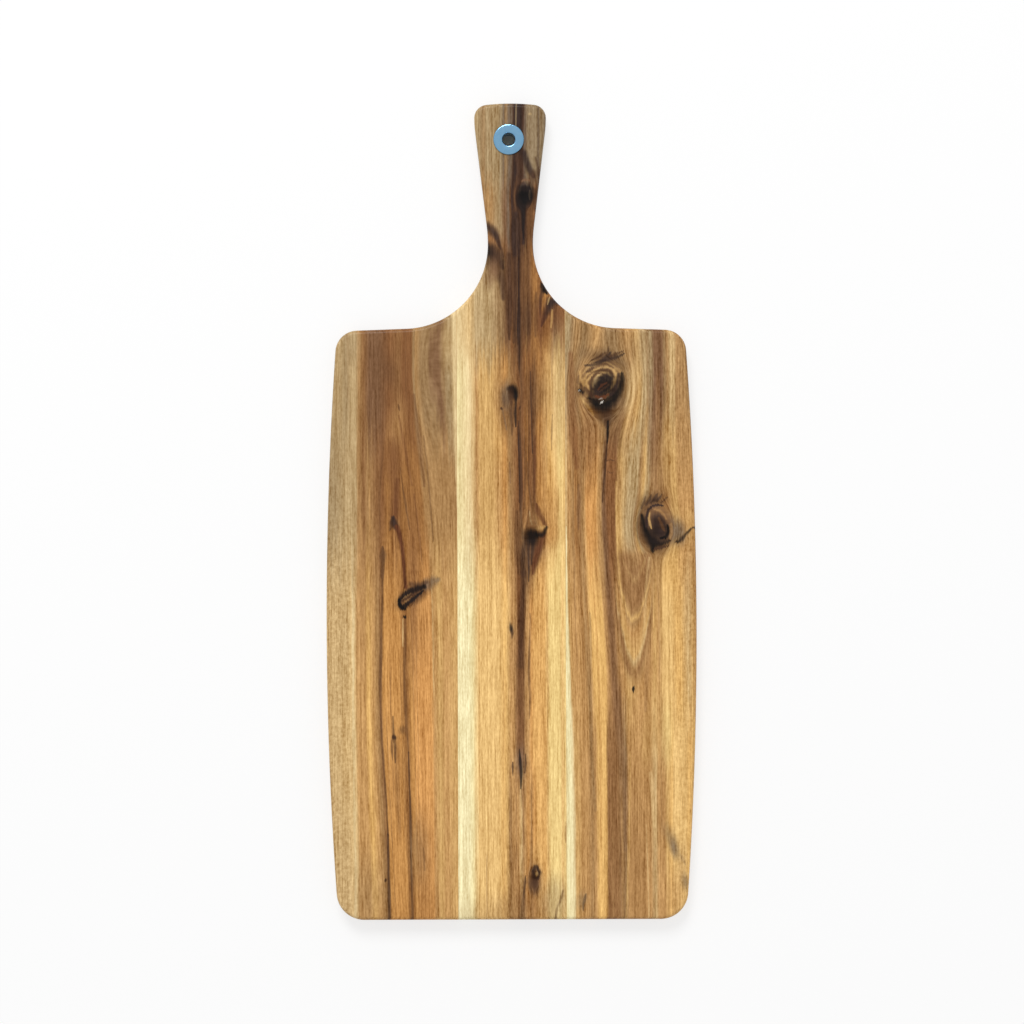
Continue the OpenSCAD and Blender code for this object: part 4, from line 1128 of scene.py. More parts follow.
    Stroke("plum", 0.6, 0.8, [(98.6, -6, 0.6), (100, -11, 0.9), (103, -15.4, 0.6)]),
    Stroke("walnut", 0.4, 0.8, [(101, -4.6, 0.5), (103, -9, 0.8), (105, -13.4, 0.5)]),
    Stroke("soot", 0.85, 0.7, [
        (106.8, -9.6, 0.5), (107.6, -14, 0.9), (106, -17.8, 1.0), (102.6, -18, 0.7),
    ]),
    Spot((98, -15), (2.8, 4.4), "knot", 0.65, 0.95, 20),
    Stroke("gold", 0.7, 0.7, [(94.9, -1, 0.4), (94.4, -5, 0.7), (95.2, -9, 0.6), (96.4, -12, 0.2)]),
    Stroke("tan", 0.4, 0.8, [(109.4, -9, 0.8), (109.8, -14.6, 1.0), (108.8, -19, 0.7)]),
    Spot((83.3, -122), (0.9, 1.7), "soot", 0.95, 0.5),
    Spot((108, -222), (3.2, 7.0), "smoke", 0.25, 0.95, 25),
    Spot((116.5, -238), (3.2, 10), "hide", 0.4),
    Spot((110.8, -231), (2.6, 6.5), "smoke", 0.6, 0.95, 15),
    Stroke("fawn", 0.5, 0.8, [(115, -236, 0.8), (117.6, -240, 1.0), (119, -243, 0.4)]),
    Spot((118.6, -254), (2.4, 5), "smoke", 0.4, 0.9, 5),
    Stroke("umber", 0.55, 0.9, [
        (50.6, -262, 0.4), (49.8, -264.6, 1.0), (48.6, -269, 0.8), (48.4, -274, 0.3),
    ]),
    Spot((47.2, -267), (3.0, 6), "ash", 0.5, 0.8, -10),
]

RIGHT_STAVE = Recipe(
    seed=23.0,
    lean=0.6,
    low_x=30,
    high_x=130,
    grain=(0.98, 1.1),
    figure=(104, 114, 0.38),
    bends=[
        Bend((60, 10), (24, 95), -7),
    ],
    partings=[
        Parting((62.5, 85), 15, 1.35),
        Parting((99, -11), 11, 1.5),
    ],
    bands=[
        Bands(0, 0, [
            (36, "custard"), (37.4, "cream"), (39, "cream"), (41.5, "straw"), (44, "gold"), (48, "tan"),
            (52, "biscuit"), (55, "hide"), (57.5, "biscuit"), (59.5, "honey"), (64.6, "honey"),
            (66, "russet"), (72, "russet"), (75.5, "hide"), (78, "fawn"), (80, "tan"), (81.5, "biscuit"),
            (87, "biscuit"), (93, "biscuit"), (95, "biscuit"), (98, "wheat"), (100.5, "biscuit"),
            (104.5, "biscuit"), (106.5, "gold"), (109.5, "honey"), (111, "butter"), (119, "butter"),
            (121, "honey"), (127, "gold"),
        ]),
        Bands(-165, -115, [
            (36, "custard"), (37.4, "cream"), (38.8, "cream"), (40.6, "gold"), (44, "tan"), (48, "tan"),
            (51.5, "biscuit"), (53.5, "hide"), (55.6, "biscuit"), (57.4, "honey"), (65.6, "honey"),
            (67, "biscuit"), (69.5, "russet"), (75, "russet"), (77.5, "tan"), (80, "gold"), (88, "tan"),
            (91, "tan"), (93.5, "tan"), (95.5, "tan"), (98, "gold"), (100.5, "tan"), (103, "gold"),
            (105.5, "butter"), (109, "butter"), (113.5, "honey"), (116, "honey"), (121, "straw"),
            (124, "gold"), (127, "tan"),
        ]),
        Bands(-75, -15, [
            (36, "straw"), (40.5, "straw"), (42.5, "biscuit"), (46.5, "hide"), (48.5, "copper"),
            (54, "hide"), (56.4, "tan"), (58, "apricot"), (64.5, "amber"), (66.5, "tan"), (68.5, "hide"),
            (70, "chestnut"), (72, "sienna"), (76.8, "sienna"), (78, "gold"), (79.5, "gold"), (84, "sand"),
            (88.5, "sand"), (90.5, "hide"), (92.5, "gold"), (95, "sand"), (97, "hide"), (103, "hide"),
            (105.5, "gold"), (112, "gold"), (114.5, "tan"), (120, "tan"), (127, "biscuit"),
        ]),
        Bands(30, 85, [
            (36, "sand"), (41, "drab"), (43.5, "fawn"), (47, "hide"), (53, "fawn"), (57, "hide"),
            (61, "tan"), (64, "hide"), (67, "fawn"), (72, "fawn"), (77, "hide"), (81, "tan"), (86, "gold"),
            (89.5, "sand"), (91, "sand"), (92.6, "fawn"), (95, "drab"), (97.4, "chestnut"),
            (103, "chestnut"), (105, "fawn"), (107, "hide"), (109, "wheat"), (111.4, "wheat"),
            (113, "hide"), (119, "hide"), (127, "fawn"),
        ]),
    ],
    arches=[
        Arch(84, 15, (0.22, 0.36), -120, -28, [
            (-130, "biscuit"), (-119, "hide"), (-112, "russet"), (-107, "hide"), (-103, "wheat"),
            (-99, "gold"), (-84, "tan"), (-77, "hide"), (-74, "gold"), (-71, "hide"), (-66, "russet"),
            (-50, "russet"), (-46, "hide"), (-43, "russet"), (-30, "hide"), (-27, "tan"),
        ]),
    ],
    streaks=[
        Streak(50.5, 0.7, -150, -60, 15, "copper", 0.5),
        Streak(46.3, 0.6, -100, 30, 15, "russet", 0.5),
        Streak(52.5, 0.6, -20, 60, 15, "sienna", 0.5),
        Streak(61, 0.6, -240, -60, 20, "amber", 0.5),
        Streak(70.5, 0.7, -40, 55, 12, "walnut", 0.7),
        Streak(101, 0.8, -110, -60, 12, "hide", 0.6),
        Streak(100, 2.4, 12, 85, 15, "russet", 0.55),
        Streak(107.5, 0.5, -260, -60, 15, "gold", 0.3),
        Streak(111, 0.6, -240, -80, 15, "gold", 0.5),
        Streak(69, 0.6, -285, -200, 15, "hide", 0.5),
        Streak(74.2, 0.6, -285, -180, 15, "chestnut", 0.5),
        Streak(86, 0.5, -285, -190, 15, "biscuit", 0.6),
        Streak(99, 0.6, -285, -170, 15, "straw", 0.5),
        Streak(102.5, 0.6, -220, -130, 15, "hide", 0.4),
    ],
    marks=RIGHT_MARKS,
)

# Knots that are sunk a little below the serving face, in millimetres
LEFT_HOLLOWS = [Hollow((-68, -57), 12, (3.0, 8.0), -57, 0.35)]
CENTRE_HOLLOWS = [
    Hollow((14, -18), 12, (5.0, 8.0), 0, 0.4),
    Hollow((9.5, 216), 10, (4.5, 6.5), 0, 0.35),
    Hollow((1.5, 80), 9, (3.5, 5.0), 0, 0.3),
    Hollow((15.5, -252), 9, (2.4, 5.5), 0, 0.3),
]
RIGHT_HOLLOWS = [
    Hollow((66, 79), 20, (9.0, 11.0), -42, 0.6),
    Hollow((97, -17), 20, (7.0, 10.0), 35, 0.5),
]


# Groups of the wood: solid share of a streak, stir of the rings, roughness of the lines
STREAK_CORE = 0.2
RING_SWIRL = 0.2
LINE_RAGGED = 0.8


def bend_group():
    """Pushes the grain sideways round a place, fading out over its reach."""
    inputs = [
        "Across", "Along", "Shift", "Place across", "Place along", "Reach across", "Reach along", "Push",
    ]
    tree, wires, given = new_group("grain_bend", inputs, ["Shift"])
    across = wires.over(wires.minus(given["Across"], given["Place across"]), given["Reach across"])
    along = wires.over(wires.minus(given["Along"], given["Place along"]), given["Reach along"])
    fade = wires.math("EXPONENT", wires.times(wires.square_sum(across, along), -1.0))
    give_outputs(wires, shift=wires.times_plus(fade, given["Push"], given["Shift"]))
    return tree


def parting_group():
    """Parts the grain round a knot, as a stream parts round a stone."""
    inputs = ["Across", "Along", "Shift", "Place across", "Place along", "Radius", "Stretch"]
    tree, wires, given = new_group("grain_parting", inputs, ["Shift"])
    across = wires.minus(given["Across"], given["Place across"])
    along = wires.over(wires.minus(given["Along"], given["Place along"]), given["Stretch"])
    share = wires.over(wires.times(given["Radius"], given["Radius"]), wires.square_sum(across, along))
    pull = wires.math("POWER", wires.math("MINIMUM", share, 1.0), 2.0)
    give_outputs(wires, shift=wires.times_plus(across, pull, given["Shift"]))
    return tree


def streak_group():
    """A streak along the grain, soft at its sides and fading at both ends."""
    inputs = ["Across", "Along", "Place", "Half width", "Bottom", "Top", "Fade"]
    tree, wires, given = new_group("grain_streak", inputs, ["Mask"])
    away = wires.math("ABSOLUTE", wires.minus(given["Across"], given["Place"]))
    side = wires.eased(away, wires.times(given["Half width"], STREAK_CORE), given["Half width"], 1.0, 0.0)
    low = wires.minus(given["Bottom"], given["Fade"])
    high = wires.math("ADD", given["Top"], given["Fade"])
    above = wires.eased(given["Along"], low, given["Bottom"])
    below = wires.eased(given["Along"], given["Top"], high, 1.0, 0.0)
    give_outputs(wires, mask=wires.times(wires.times(side, above), below))
    return tree


def spot_group():
    """An oval mark with a soft, ragged rim. Radius is 1 on its rim."""
    inputs = ["Across", "Along", "Place across", "Place along", "Half width", "Half length", "Turn",
              "Softness", "Ragged", "Swirl"]
    tree, wires, given = new_group("oval_mark", inputs, ["Mask", "Radius"])
    dx = wires.minus(given["Across"], given["Place across"])
    dy = wires.minus(given["Along"], given["Place along"])
    cosine = wires.math("COSINE", given["Turn"])
    sine = wires.math("SINE", given["Turn"])
    across = wires.over(wires.times_plus(dx, cosine, wires.times(dy, sine)), given["Half width"])
    along = wires.over(wires.minus(wires.times(dy, cosine), wires.times(dx, sine)), given["Half length"])
    away = wires.math("SQRT", wires.square_sum(across, along))
    rim = wires.math("ADD", away, wires.over(given["Ragged"], given["Half width"]))
    inner = wires.minus(1.0, given["Softness"])
    outer = wires.math("ADD", 1.0, given["Softness"])
    radius = wires.times_plus(given["Swirl"], RING_SWIRL, away)
    give_outputs(wires, mask=wires.eased(rim, inner, outer, 1.0, 0.0), radius=radius)
    return tree


def stroke_group():
    """One straight piece of a drawn line, with a half width at each end and a ragged side."""
    inputs = ["Across", "Along", "Start across", "Start along", "Run across", "Run along", "Start width",
              "Widening", "Softness", "Ragged"]
    tree, wires, given = new_group("line_piece", inputs, ["Mask"])
    dx = wires.minus(given["Across"], given["Start across"])
    dy = wires.minus(given["Along"], given["Start along"])
    run_x = given["Run across"]
    run_y = given["Run along"]
    travel = wires.times_plus(dx, run_x, wires.times(dy, run_y))
    share = wires.over(travel, wires.square_sum(run_x, run_y))
    share = wires.math("MINIMUM", wires.math("MAXIMUM", share, 0.0), 1.0)
    off_x = wires.minus(dx, wires.times(share, run_x))
    off_y = wires.minus(dy, wires.times(share, run_y))
    away = wires.math("SQRT", wires.square_sum(off_x, off_y))
    rough = wires.times_plus(given["Ragged"], LINE_RAGGED, away)
    width = wires.times_plus(share, given["Widening"], given["Start width"])
    inner = wires.times(width, wires.minus(1.0, given["Softness"]))
    outer = wires.times(width, wires.math("ADD", 1.0, given["Softness"]))
    give_outputs(wires, mask=wires.eased(rough, inner, outer, 1.0, 0.0))
    return tree


GRAIN_BEND = bend_group()
GRAIN_PARTING = parting_group()
GRAIN_STREAK = streak_group()
OVAL_MARK = spot_group()
LINE_PIECE = stroke_group()


# A noise changes so often per millimetre across, along and through the wood, with so many finer layers
Noise = namedtuple("Noise", "scale detail")


def grain_noise(wires, place, noise):
    """Noise between -1 and 1 over a place in millimetres."""
    inputs = {"Vector": wires.vector("MULTIPLY", place, noise.scale), "Scale": 1.0, "Detail": noise.detail}
    return wires.times_plus(wires.add("ShaderNodeTexNoise", inputs).outputs[0], 2.0, -1.0)


# Fine grain, and how strongly it shades
LINE_NOISE = Noise((0.3, 0.004, 0.3), 2.0)
LINE_DEPTH = 0.3
FIBRE_NOISE = Noise((0.7, 0.009, 0.7), 4.0)
FIBRE_DEPTH = 0.6
PORE_NOISE = Noise((1.25, 0.09, 1.25), 4.0)
PORE_DEPTH = 0.7
SPECKLE_NOISE = Noise((1.1, 0.35, 1.1), 3.0)
SPECKLE_DEPTH = 0.42
SHADE_TINT = (0.8, 1.0, 1.3)

# Curled figure, weaker towards the shoulders. The grain's depth also changes over the middle of the blade
FIGURE_NOISE = Noise((0.55, 0.5, 0.55), 2.0)
FIGURE_LEAST = 0.2
CHANGE_BOTTOM = -60.0
CHANGE_TOP = 60.0

# Brightness of dark and pale wood, with the contrast that the grain has on each
DARK_WOOD = 0.12
PALE_WOOD = 0.8
DARK_CONTRAST = 1.25
PALE_CONTRAST = 0.6

# Course of the grain: its drift along the board with depth, and the distance between the staves' noise
GRAIN_DRIFT = 0.8
SEED_STEP = 100
GRAIN_OFFSET = 50

# Noise that bends the bands and roughens their edges, with its reach in millimetres
WANDER_NOISE = Noise((0.03, 0.008, 0.03), 1.0)
WANDER = 0.7
RAGGED_NOISE = Noise((0.5, 0.035, 0.5), 3.0)
RAGGED_LINE = 1.1
RAGGED_ACROSS = 0.3
RAGGED_RISE = 25.0
SWIRL_NOISE = Noise((0.13, 0.13, 0.13), 2.0)

# Arches of flat-cut grain: roughness, solid share of the half width, strength and fades in millimetres
ARCH_RAGGED = 0.8
ARCH_LEVEL_RAGGED = 5.0
ARCH_CORE = 0.6
ARCH_STRENGTH = 0.9
ARCH_MARGIN = 10
ARCH_FOOT = 15
ARCH_TOP = 3

# Marks: how far each fibre carries one along the grain, in millimetres, and what share wear leaves of it
TEAR_NOISE = Noise((1.6, 0.03, 1.6), 2.0)
TEAR = 1.6
WEAR_NOISE = Noise((1.3, 0.06, 1.3), 2.0)
WEAR_START = -0.4
WEAR_END = 0.2
WEAR_LEAST = 0.8

# Marks whose tone adds up to less than this cover the wood faster, as a dark stain does
DEEP_TONE = 300

# Share of the written tones that the oiled face shows, and its finish
OILED = (0.955, 0.95, 0.935)
OIL_SPECULAR = 0.08
OIL_COAT = 0.12
OIL_COAT_ROUGHNESS = 0.25
OIL_ROUGHNESS = 0.45
OIL_FIBRE_SHINE = -0.15
GRAIN_BUMP = 0.3
GRAIN_BUMP_DEPTH = 0.1 * MM

Grain = namedtuple("Grain", "depth across along line ragged swirl worn rough_line rough_across rough_along")


def new_material(name):
    """A node material, with its wiring and its shader."""
    material = bpy.data.materials.new(name)
    material.use_nodes = True
    return material, Wiring(material.node_tree), material.node_tree.nodes["Principled BSDF"]


def stave_grain(wires, recipe):
    """The course of the grain, which leans through the thickness and is pushed aside by bends and knots."""
    x, y, z = wires.add("ShaderNodeSeparateXYZ", (wires.object_place(),)).outputs
    depth = wires.minus(THICKNESS * PER_MM, z)
    across = wires.times_plus(depth, recipe.lean, x)
    along = wires.times_plus(depth, GRAIN_DRIFT, y)
    place = wires.joined(across, along, wires.math("ADD", depth, SEED_STEP * recipe.seed))
    shift = 0.0
    for bend in recipe.bends:
        shift = wires.group(
            GRAIN_BEND, across=across, along=along, shift=shift,
            place_across=bend.place[0], place_along=bend.place[1],
            reach_across=bend.reach[0], reach_along=bend.reach[1], push=bend.push,
        )["Shift"]
    for knot in recipe.partings:
        shift = wires.group(
            GRAIN_PARTING, across=across, along=along, shift=shift,
            place_across=knot.place[0], place_along=knot.place[1],
            radius=knot.radius, stretch=knot.stretch,
        )["Shift"]
    wander = grain_noise(wires, place, WANDER_NOISE)
    ragged = grain_noise(wires, place, RAGGED_NOISE)
    swirl = grain_noise(wires, place, SWIRL_NOISE)
    torn = grain_noise(wires, place, TEAR_NOISE)
    worn = wires.eased(grain_noise(wires, place, WEAR_NOISE), WEAR_START, WEAR_END, WEAR_LEAST, 1.0)
    line = wires.times_plus(wander, WANDER, wires.minus(across, shift))
    rough_line = wires.times_plus(ragged, RAGGED_LINE, line)
    rough_across = wires.times_plus(ragged, RAGGED_ACROSS, across)
    rough_along = wires.times_plus(torn, TEAR, along)
    return Grain(depth, across, along, line, ragged, swirl, worn, rough_line, rough_across, rough_along)


def banded_colour(wires, recipe, grain):
    """The bands of the stave, which change along its length, with arches and streaks over them."""
    along = grain.along
    colour = None
    for bands in recipe.bands:
        strip = wires.ramp(grain.rough_line, bands.stops, recipe.low_x, recipe.high_x)
        if colour is None:
            colour = strip
        else:
            rise = wires.times_plus(grain.ragged, RAGGED_RISE, along)
            colour = wires.mixed(wires.eased(rise, bands.start, bands.end), colour, strip)
    for arch in recipe.arches:
        low = arch.bottom - ARCH_MARGIN
        away = wires.minus(wires.times_plus(grain.ragged, ARCH_RAGGED, grain.across), arch.middle)
        curve = wires.eased(along, arch.top, arch.bottom, arch.curve[0], arch.curve[1])
        drop = wires.times(wires.times(away, away), curve)
        level = wires.times_plus(grain.ragged, ARCH_LEVEL_RAGGED, wires.minus(grain.rough_along, drop))
        strip = wires.ramp(level, arch.stops, low, arch.top + ARCH_MARGIN)
        core = arch.half_width * ARCH_CORE
        side = wires.eased(wires.math("ABSOLUTE", away), core, arch.half_width, ARCH_STRENGTH, 0.0)
        above = wires.eased(along, low, arch.bottom + ARCH_FOOT)
        below = wires.eased(along, arch.top - ARCH_TOP, arch.top + ARCH_TOP, 1.0, 0.0)
        colour = wires.mixed(wires.times(wires.times(side, above), below), colour, strip)
    for streak in recipe.streaks:
        mask = wires.group(
            GRAIN_STREAK, across=grain.rough_line, along=grain.rough_along, place=streak.place,
            half_width=streak.half_width, bottom=streak.bottom, top=streak.top, fade=streak.fade,
        )["Mask"]
        colour = wires.mixed(wires.times(mask, streak.strength), colour, tone(streak.tone))
    return colour


def stroke_mask(wires, grain, stroke):
    """The share that a drawn line covers, piece by piece."""
    mask = 0.0
    for (x0, y0, width0), (x1, y1, width1) in zip(stroke.points, stroke.points[1:]):
        piece = wires.group(
            LINE_PIECE, across=grain.rough_across, along=grain.rough_along, start_across=x0, start_along=y0,
            run_across=x1 - x0, run_along=y1 - y0, start_width=width0, widening=width1 - width0,
            softness=stroke.softness, ragged=grain.ragged,
        )["Mask"]
        mask = wires.math("MAXIMUM", piece, mask)
    return mask


def marked_colour(wires, marks, grain, colour):
    """The knots, stains and lines, laid over the bands one after another."""
    for mark in marks:
        if isinstance(mark, Stroke):
            mask = stroke_mask(wires, grain, mark)
        else:
            oval = wires.group(
                OVAL_MARK, across=grain.rough_across, along=grain.rough_along,
                place_across=mark.place[0], place_along=mark.place[1],
                half_width=mark.half_size[0], half_length=mark.half_size[1], turn=math.radians(mark.turn),
                softness=mark.softness, ragged=grain.ragged, swirl=grain.swirl,
            )
            mask = oval["Mask"]
        if isinstance(mark, Rings):
            wave = wires.math("SINE", wires.times(oval["Radius"], 2 * math.pi * mark.count))
            paint = wires.mixed(wires.times_plus(wave, 0.5, 0.5), tone(mark.pale), tone(mark.dark))
        else:
            paint = tone(mark.tone)
        share = wires.times(mask, grain.worn)
        if isinstance(mark, Rings) or sum(TONES[mark.tone]) > DEEP_TONE:
            colour = wires.mixed(wires.times(share, mark.strength), colour, paint)
        else:
            bare = wires.times_plus(share, -mark.strength, 1.0)
            colour = wires.mixed(wires.times(bare, bare), paint, colour)
    return colour


def stave_wood(name, recipe):
    """Oiled hardwood with bands, knots and fine grain, which go on through the thickness."""
    material, wires, shader = new_material(name)
    grain = stave_grain(wires, recipe)
    colour = marked_colour(wires, recipe.marks, grain, banded_colour(wires, recipe, grain))

    seed = wires.math("ADD", grain.depth, SEED_STEP * recipe.seed + GRAIN_OFFSET)
    place = wires.joined(grain.line, grain.along, seed)
    fibre = grain_noise(wires, place, FIBRE_NOISE)
    pores = grain_noise(wires, place, PORE_NOISE)
    speckle = grain_noise(wires, place, SPECKLE_NOISE)
    lines = grain_noise(wires, place, LINE_NOISE)
    shade = wires.times(fibre, FIBRE_DEPTH)
    for noise, strength in ((lines, LINE_DEPTH), (pores, PORE_DEPTH), (speckle, SPECKLE_DEPTH)):
        shade = wires.times_plus(noise, strength, shade)
    if recipe.figure:
        start, end, strength = recipe.figure
        curl = grain_noise(wires, place, FIGURE_NOISE)
        lower = wires.eased(grain.along, CHANGE_TOP, CHANGE_BOTTOM, FIGURE_LEAST, strength)
        shade = wires.times_plus(curl, wires.times(wires.eased(grain.across, start, end), lower), shade)
    shade = wires.times(shade, wires.eased(grain.along, CHANGE_BOTTOM, CHANGE_TOP, *recipe.grain))
    bright = wires.add("ShaderNodeRGBToBW", (colour,)).outputs[0]
    contrast = wires.eased(bright, DARK_WOOD, PALE_WOOD, DARK_CONTRAST, PALE_CONTRAST)
    lit = wires.vector("MULTIPLY_ADD", wires.times(shade, contrast), SHADE_TINT, OILED)
    wires.give(shader, {
        "Base Color": wires.vector("MULTIPLY", colour, lit),
        "Specular IOR Level": OIL_SPECULAR,
        "Coat Weight": OIL_COAT,
        "Coat Roughness": OIL_COAT_ROUGHNESS,
        "Roughness": wires.times_plus(fibre, OIL_FIBRE_SHINE, OIL_ROUGHNESS),
        "Normal": wires.bump(shade, GRAIN_BUMP, GRAIN_BUMP_DEPTH),
    })
    return material


# Clouds of the glue
GLUE_NOISE = Noise((0.3, 0.05, 0.3), 3.0)
GLUE_SPAN = 0.4
GLUE_ROUGHNESS = 0.5
GLUE_UNEVEN = 0.1


def glue_film():
    """Dried wood glue, brown and dull, a little paler where it lies thick."""
    material, wires, shader = new_material("dried_wood_glue")
    cloud = grain_noise(wires, wires.object_place(), GLUE_NOISE)
    wires.give(shader, {
        "Base Color": wires.mixed(wires.eased(cloud, -GLUE_SPAN, GLUE_SPAN), tone("hide"), tone("gold")),
        "Roughness": wires.times_plus(cloud, GLUE_UNEVEN, GLUE_ROUGHNESS),
    })
    return material


# Plate of the eyelet: its two blues, which are its own faint blue cast deepened by a painted reflection of
# blue sky, its clouds and its turning marks
PLATE_AND_PAINTED_SKY_BLUE = (150, 201, 236)
PLATE_AND_PAINTED_SKY_BLUE_DEEP = (136, 188, 226)
PLATE_NOISE = Noise((0.35, 0.35, 0.35), 3.0)
PLATE_SPAN = 0.5
PLATE_ROUGHNESS = 0.2
PLATE_UNEVEN = 0.06
TURNING_NOISE = Noise((6.0, 1.0, 1.0), 2.0)
TURNING_BUMP = 0.15
TURNING_DEPTH = 0.01 * MM


def bright_plate_with_painted_sky():
    """Bright plate whose blue is partly its own faint cast and partly a painted reflection of blue sky;
    faintly clouded, with fine turning marks round the axis.
    """
    material, wires, shader = new_material("bright_plate_with_painted_sky")
    spot = wires.object_place()
    cloud = grain_noise(wires, spot, PLATE_NOISE)
    axis = (EYELET_CENTRE.x * PER_MM, EYELET_CENTRE.y * PER_MM, 0.0)
    flat = wires.vector("MULTIPLY", spot, (1.0, 1.0, 0.0))
    marks = grain_noise(wires, wires.joined(wires.distance(flat, axis), 0.0, 0.0), TURNING_NOISE)
    wires.give(shader, {
        # Base colour: a painted sky reflection over the plate's own faint blue, as two blues mixed by the
        # clouds
        "Base Color": wires.mixed(
            wires.eased(cloud, -PLATE_SPAN, PLATE_SPAN), linear(PLATE_AND_PAINTED_SKY_BLUE), linear(PLATE_AND_PAINTED_SKY_BLUE_DEEP),
        ),
        "Metallic": 1.0,
        "Roughness": wires.times_plus(cloud, PLATE_UNEVEN, PLATE_ROUGHNESS),
        "Normal": wires.bump(marks, TURNING_BUMP, TURNING_DEPTH),
    })
    return material


# Turned profiles of the eyelet and its washer, as radius and height

def round_corner(centre, radius, start):
    """A quarter round, counter-clockwise from a start angle in degrees."""
    turns = [math.radians(start + 90 * i / RIM_STEPS) for i in range(RIM_STEPS + 1)]
    return [(centre[0] + radius * math.cos(turn), centre[1] + radius * math.sin(turn)) for turn in turns]


def eyelet_profile():
    mouth = BORE_RADIUS + RIM_RADIUS
    lip_z = eyelet_low.z
    lip_top = lip_z + LIP_THICKNESS
    top = eyelet_high.z - RIM_RADIUS
    return [
        *round_corner((mouth, lip_z + RIM_RADIUS), RIM_RADIUS, 180),
        *round_corner((LIP_RADIUS - RIM_RADIUS, lip_z + RIM_RADIUS), RIM_RADIUS, 270),
        (LIP_RADIUS, lip_top),
        (BARREL_RADIUS, lip_top),
        (BARREL_RADIUS, THICKNESS),
        (FLANGE_RADIUS, THICKNESS),
        *round_corner((FLANGE_RADIUS - RIM_RADIUS, top), RIM_RADIUS, 0),
        *round_corner((mouth, top), RIM_RADIUS, 90),
    ]


def washer_profile():
    rim = (washer_high.z - washer_low.z) / 2
    return [
        (HOLE_RADIUS, washer_low.z),
        *round_corner((WASHER_RADIUS - rim, washer_low.z + rim), rim, 270),
        (WASHER_RADIUS, washer_high.z),
        (HOLE_RADIUS, washer_high.z),
    ]


def profile_mesh(name, profile):
    """The closed profile as edges, with the barrel's radius at x = 0 and the heights along minus y."""
    points = [(radius - BARREL_RADIUS, -height, 0) for radius, height in reversed(profile)]
    count = len(points)
    mesh = bpy.data.meshes.new(name)
    mesh.from_pydata(points, [(i, (i + 1) % count) for i in range(count)], [])
    return mesh


# The pieces

def add_stave(name, node, low, high, recipe, hollows, hole=None):
    plan = stave_plan(name, low.x, high.x, hollows, hole)
    sizes = {
        "Thickness": THICKNESS,
        "Edge radius": EDGE_RADIUS,
        "Pocket radius": POCKET_RADIUS if hole else 0.0,
        "Pocket depth": POCKET_DEPTH if hole else 0.0,
        "Pocket centre": (*hole, 0.0) if hole else (0.0, 0.0, 0.0),
    }
    stave = modifier_result(name, plan, STAVE_SOLID, sizes, stave_wood(name + "_grain", recipe))
    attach(stave, "root")
    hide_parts(node)


def add_ring(name, node, profile, material):
    sizes = {
        "Axis": (EYELET_CENTRE.x, EYELET_CENTRE.y, 0.0),
        "Turning radius": BARREL_RADIUS,
        "Steps": TURNING_STEPS,
    }
    ring = modifier_result(name, profile_mesh(name, profile), TURNED_RING, sizes, material)
    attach(ring, "root")
    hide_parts(node)


STAVE_SOLID = stave_solid_tree()
TURNED_RING = turned_ring_tree()
add_stave("left_stave_plank", "left_stave", left_low, left_high, LEFT_STAVE, LEFT_HOLLOWS)
add_stave("centre_stave_plank", "centre_stave", centre_low, centre_high, CENTRE_STAVE, CENTRE_HOLLOWS,
          (EYELET_CENTRE.x, EYELET_CENTRE.y))
add_stave("right_stave_plank", "right_stave", right_low, right_high, RIGHT_STAVE, RIGHT_HOLLOWS)
plate = bright_plate_with_painted_sky()
add_ring("turned_eyelet", "eyelet", eyelet_profile(), plate)
add_ring("turned_washer", "eyelet_washer", washer_profile(), plate)
glue = glue_film()
for node in ("left_glue_line", "right_glue_line"):
    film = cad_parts[node]
    film.data.materials.clear()
    film.data.materials.append(glue)


# Stage, light and camera

FLOOR_WHITE = (0.95, 0.95, 0.95, 1.0)
FLOOR_ROUGHNESS = 0.9
FLOOR_GLOW = 0.7
FLOOR_HALF = 12.0
# Painted shade: the brown given to the floor under the eyelet's hole
PAINTED_SHADE_UNDER_HOLE = (214, 178, 142)
WORLD_STRENGTH = 0.6
KEY_PLACE = (-0.6, 2.6, 3.0)
KEY_SIZE = 1.6
KEY_WATTS = 90.0


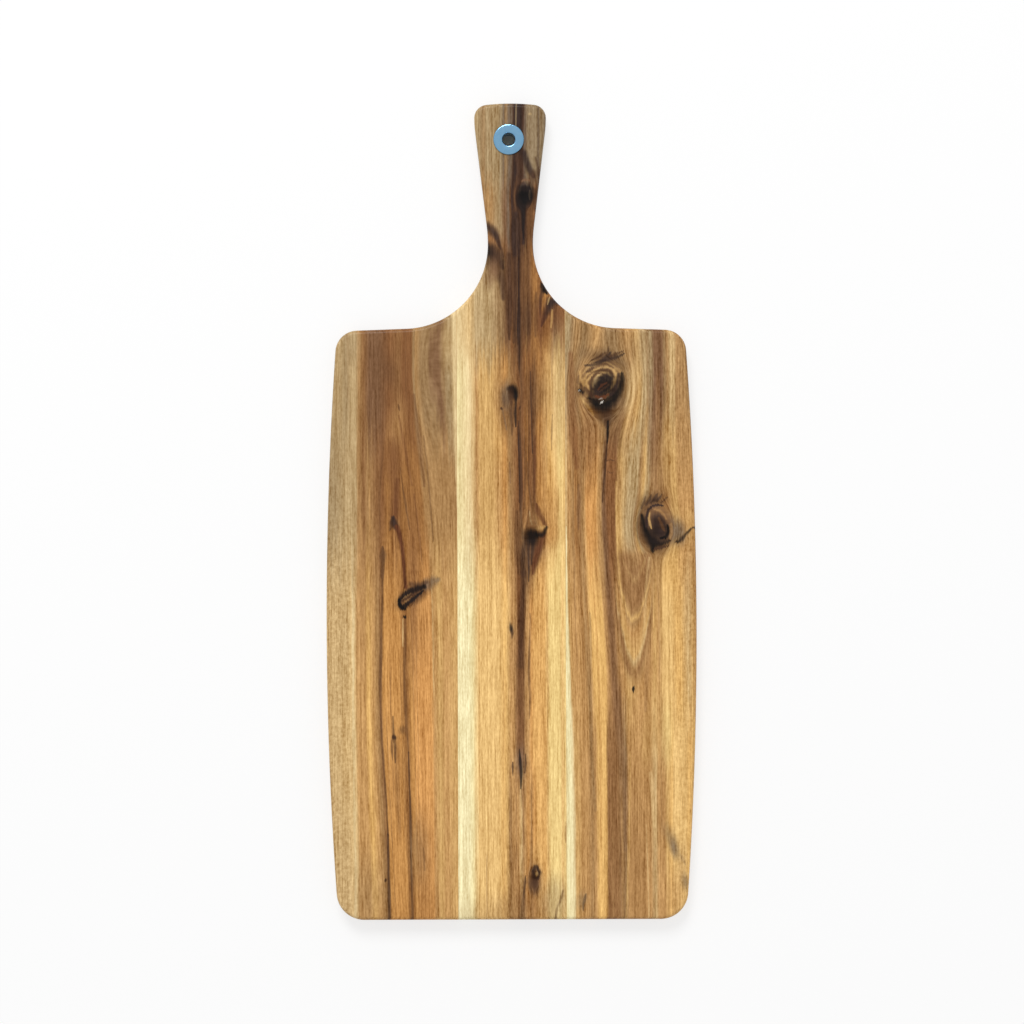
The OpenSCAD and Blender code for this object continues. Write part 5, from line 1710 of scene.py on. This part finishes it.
def pale_floor():
    """A pale floor, near white to the camera, which keeps a light shadow; under the hole a painted shade
    colours it brown and takes away its glow.
    """
    material, wires, shader = new_material("pale_floor")
    place = wires.add("ShaderNodeTexCoord").outputs["Object"]
    hole = (EYELET_CENTRE.x, EYELET_CENTRE.y, 0.0)
    # Outside the flange the floor is white and glows; towards the hole it turns to the painted shade
    open_floor = wires.eased(wires.distance(place, hole), BORE_RADIUS, FLANGE_RADIUS)
    wires.give(shader, {
        "Base Color": wires.mixed(open_floor, linear(PAINTED_SHADE_UNDER_HOLE), FLOOR_WHITE),
        "Roughness": FLOOR_ROUGHNESS,
        "Specular IOR Level": 0.0,
    })
    path = wires.add("ShaderNodeLightPath").outputs
    seen = wires.math("MAXIMUM", path["Is Camera Ray"], path["Is Glossy Ray"])
    seen = wires.math("MAXIMUM", seen, path["Is Transmission Ray"])
    share = wires.times(wires.times(seen, open_floor), FLOOR_GLOW)
    blend = wires.add("ShaderNodeMixShader", (share, shader, wires.add("ShaderNodeEmission")))
    wires.give(material.node_tree.nodes["Material Output"], {"Surface": blend})
    return material


floor_mesh = bpy.data.meshes.new("floor")
corners = [(-FLOOR_HALF, -FLOOR_HALF, 0), (FLOOR_HALF, -FLOOR_HALF, 0),
           (FLOOR_HALF, FLOOR_HALF, 0), (-FLOOR_HALF, FLOOR_HALF, 0)]
floor_mesh.from_pydata(corners, [], [(0, 1, 2, 3)])
floor_mesh.materials.append(pale_floor())
floor = bpy.data.objects.new("floor", floor_mesh)
bpy.context.scene.collection.objects.link(floor)

world = bpy.data.worlds.new("studio")
bpy.context.scene.world = world
world.use_nodes = True
backdrop = world.node_tree.nodes["Background"]
backdrop.inputs["Color"].default_value = (1.0, 1.0, 1.0, 1.0)
backdrop.inputs["Strength"].default_value = WORLD_STRENGTH


def soft_box(name, place, size, watts):
    """A square lamp that faces the middle of the board."""
    lamp = bpy.data.lights.new(name, "AREA")
    lamp.shape = "SQUARE"
    lamp.size = size
    lamp.energy = watts
    holder = bpy.data.objects.new(name, lamp)
    holder.location = place
    holder.rotation_mode = "QUATERNION"
    holder.rotation_quaternion = (-Vector(place)).to_track_quat("-Z", "Y")
    bpy.context.scene.collection.objects.link(holder)


soft_box("key_light", KEY_PLACE, KEY_SIZE, KEY_WATTS)

# The camera looks straight down, with the frame's width on the serving face as photographed
FRAME_WIDTH = 701.8 * MM
LENS = 100.0
SENSOR = 36.0
BOARD_TURN = math.radians(0.181)
AIM = (0.5 * MM, -0.36 * MM)
camera_data = bpy.data.cameras.new("camera")
camera_data.lens = LENS
camera_data.sensor_width = SENSOR
camera = bpy.data.objects.new("camera", camera_data)
camera.location = (AIM[0], AIM[1], THICKNESS + FRAME_WIDTH * LENS / SENSOR)
camera.rotation_euler = (0.0, 0.0, -BOARD_TURN)
bpy.context.scene.collection.objects.link(camera)
bpy.context.scene.camera = camera
bpy.context.scene.view_settings.view_transform = "Standard"
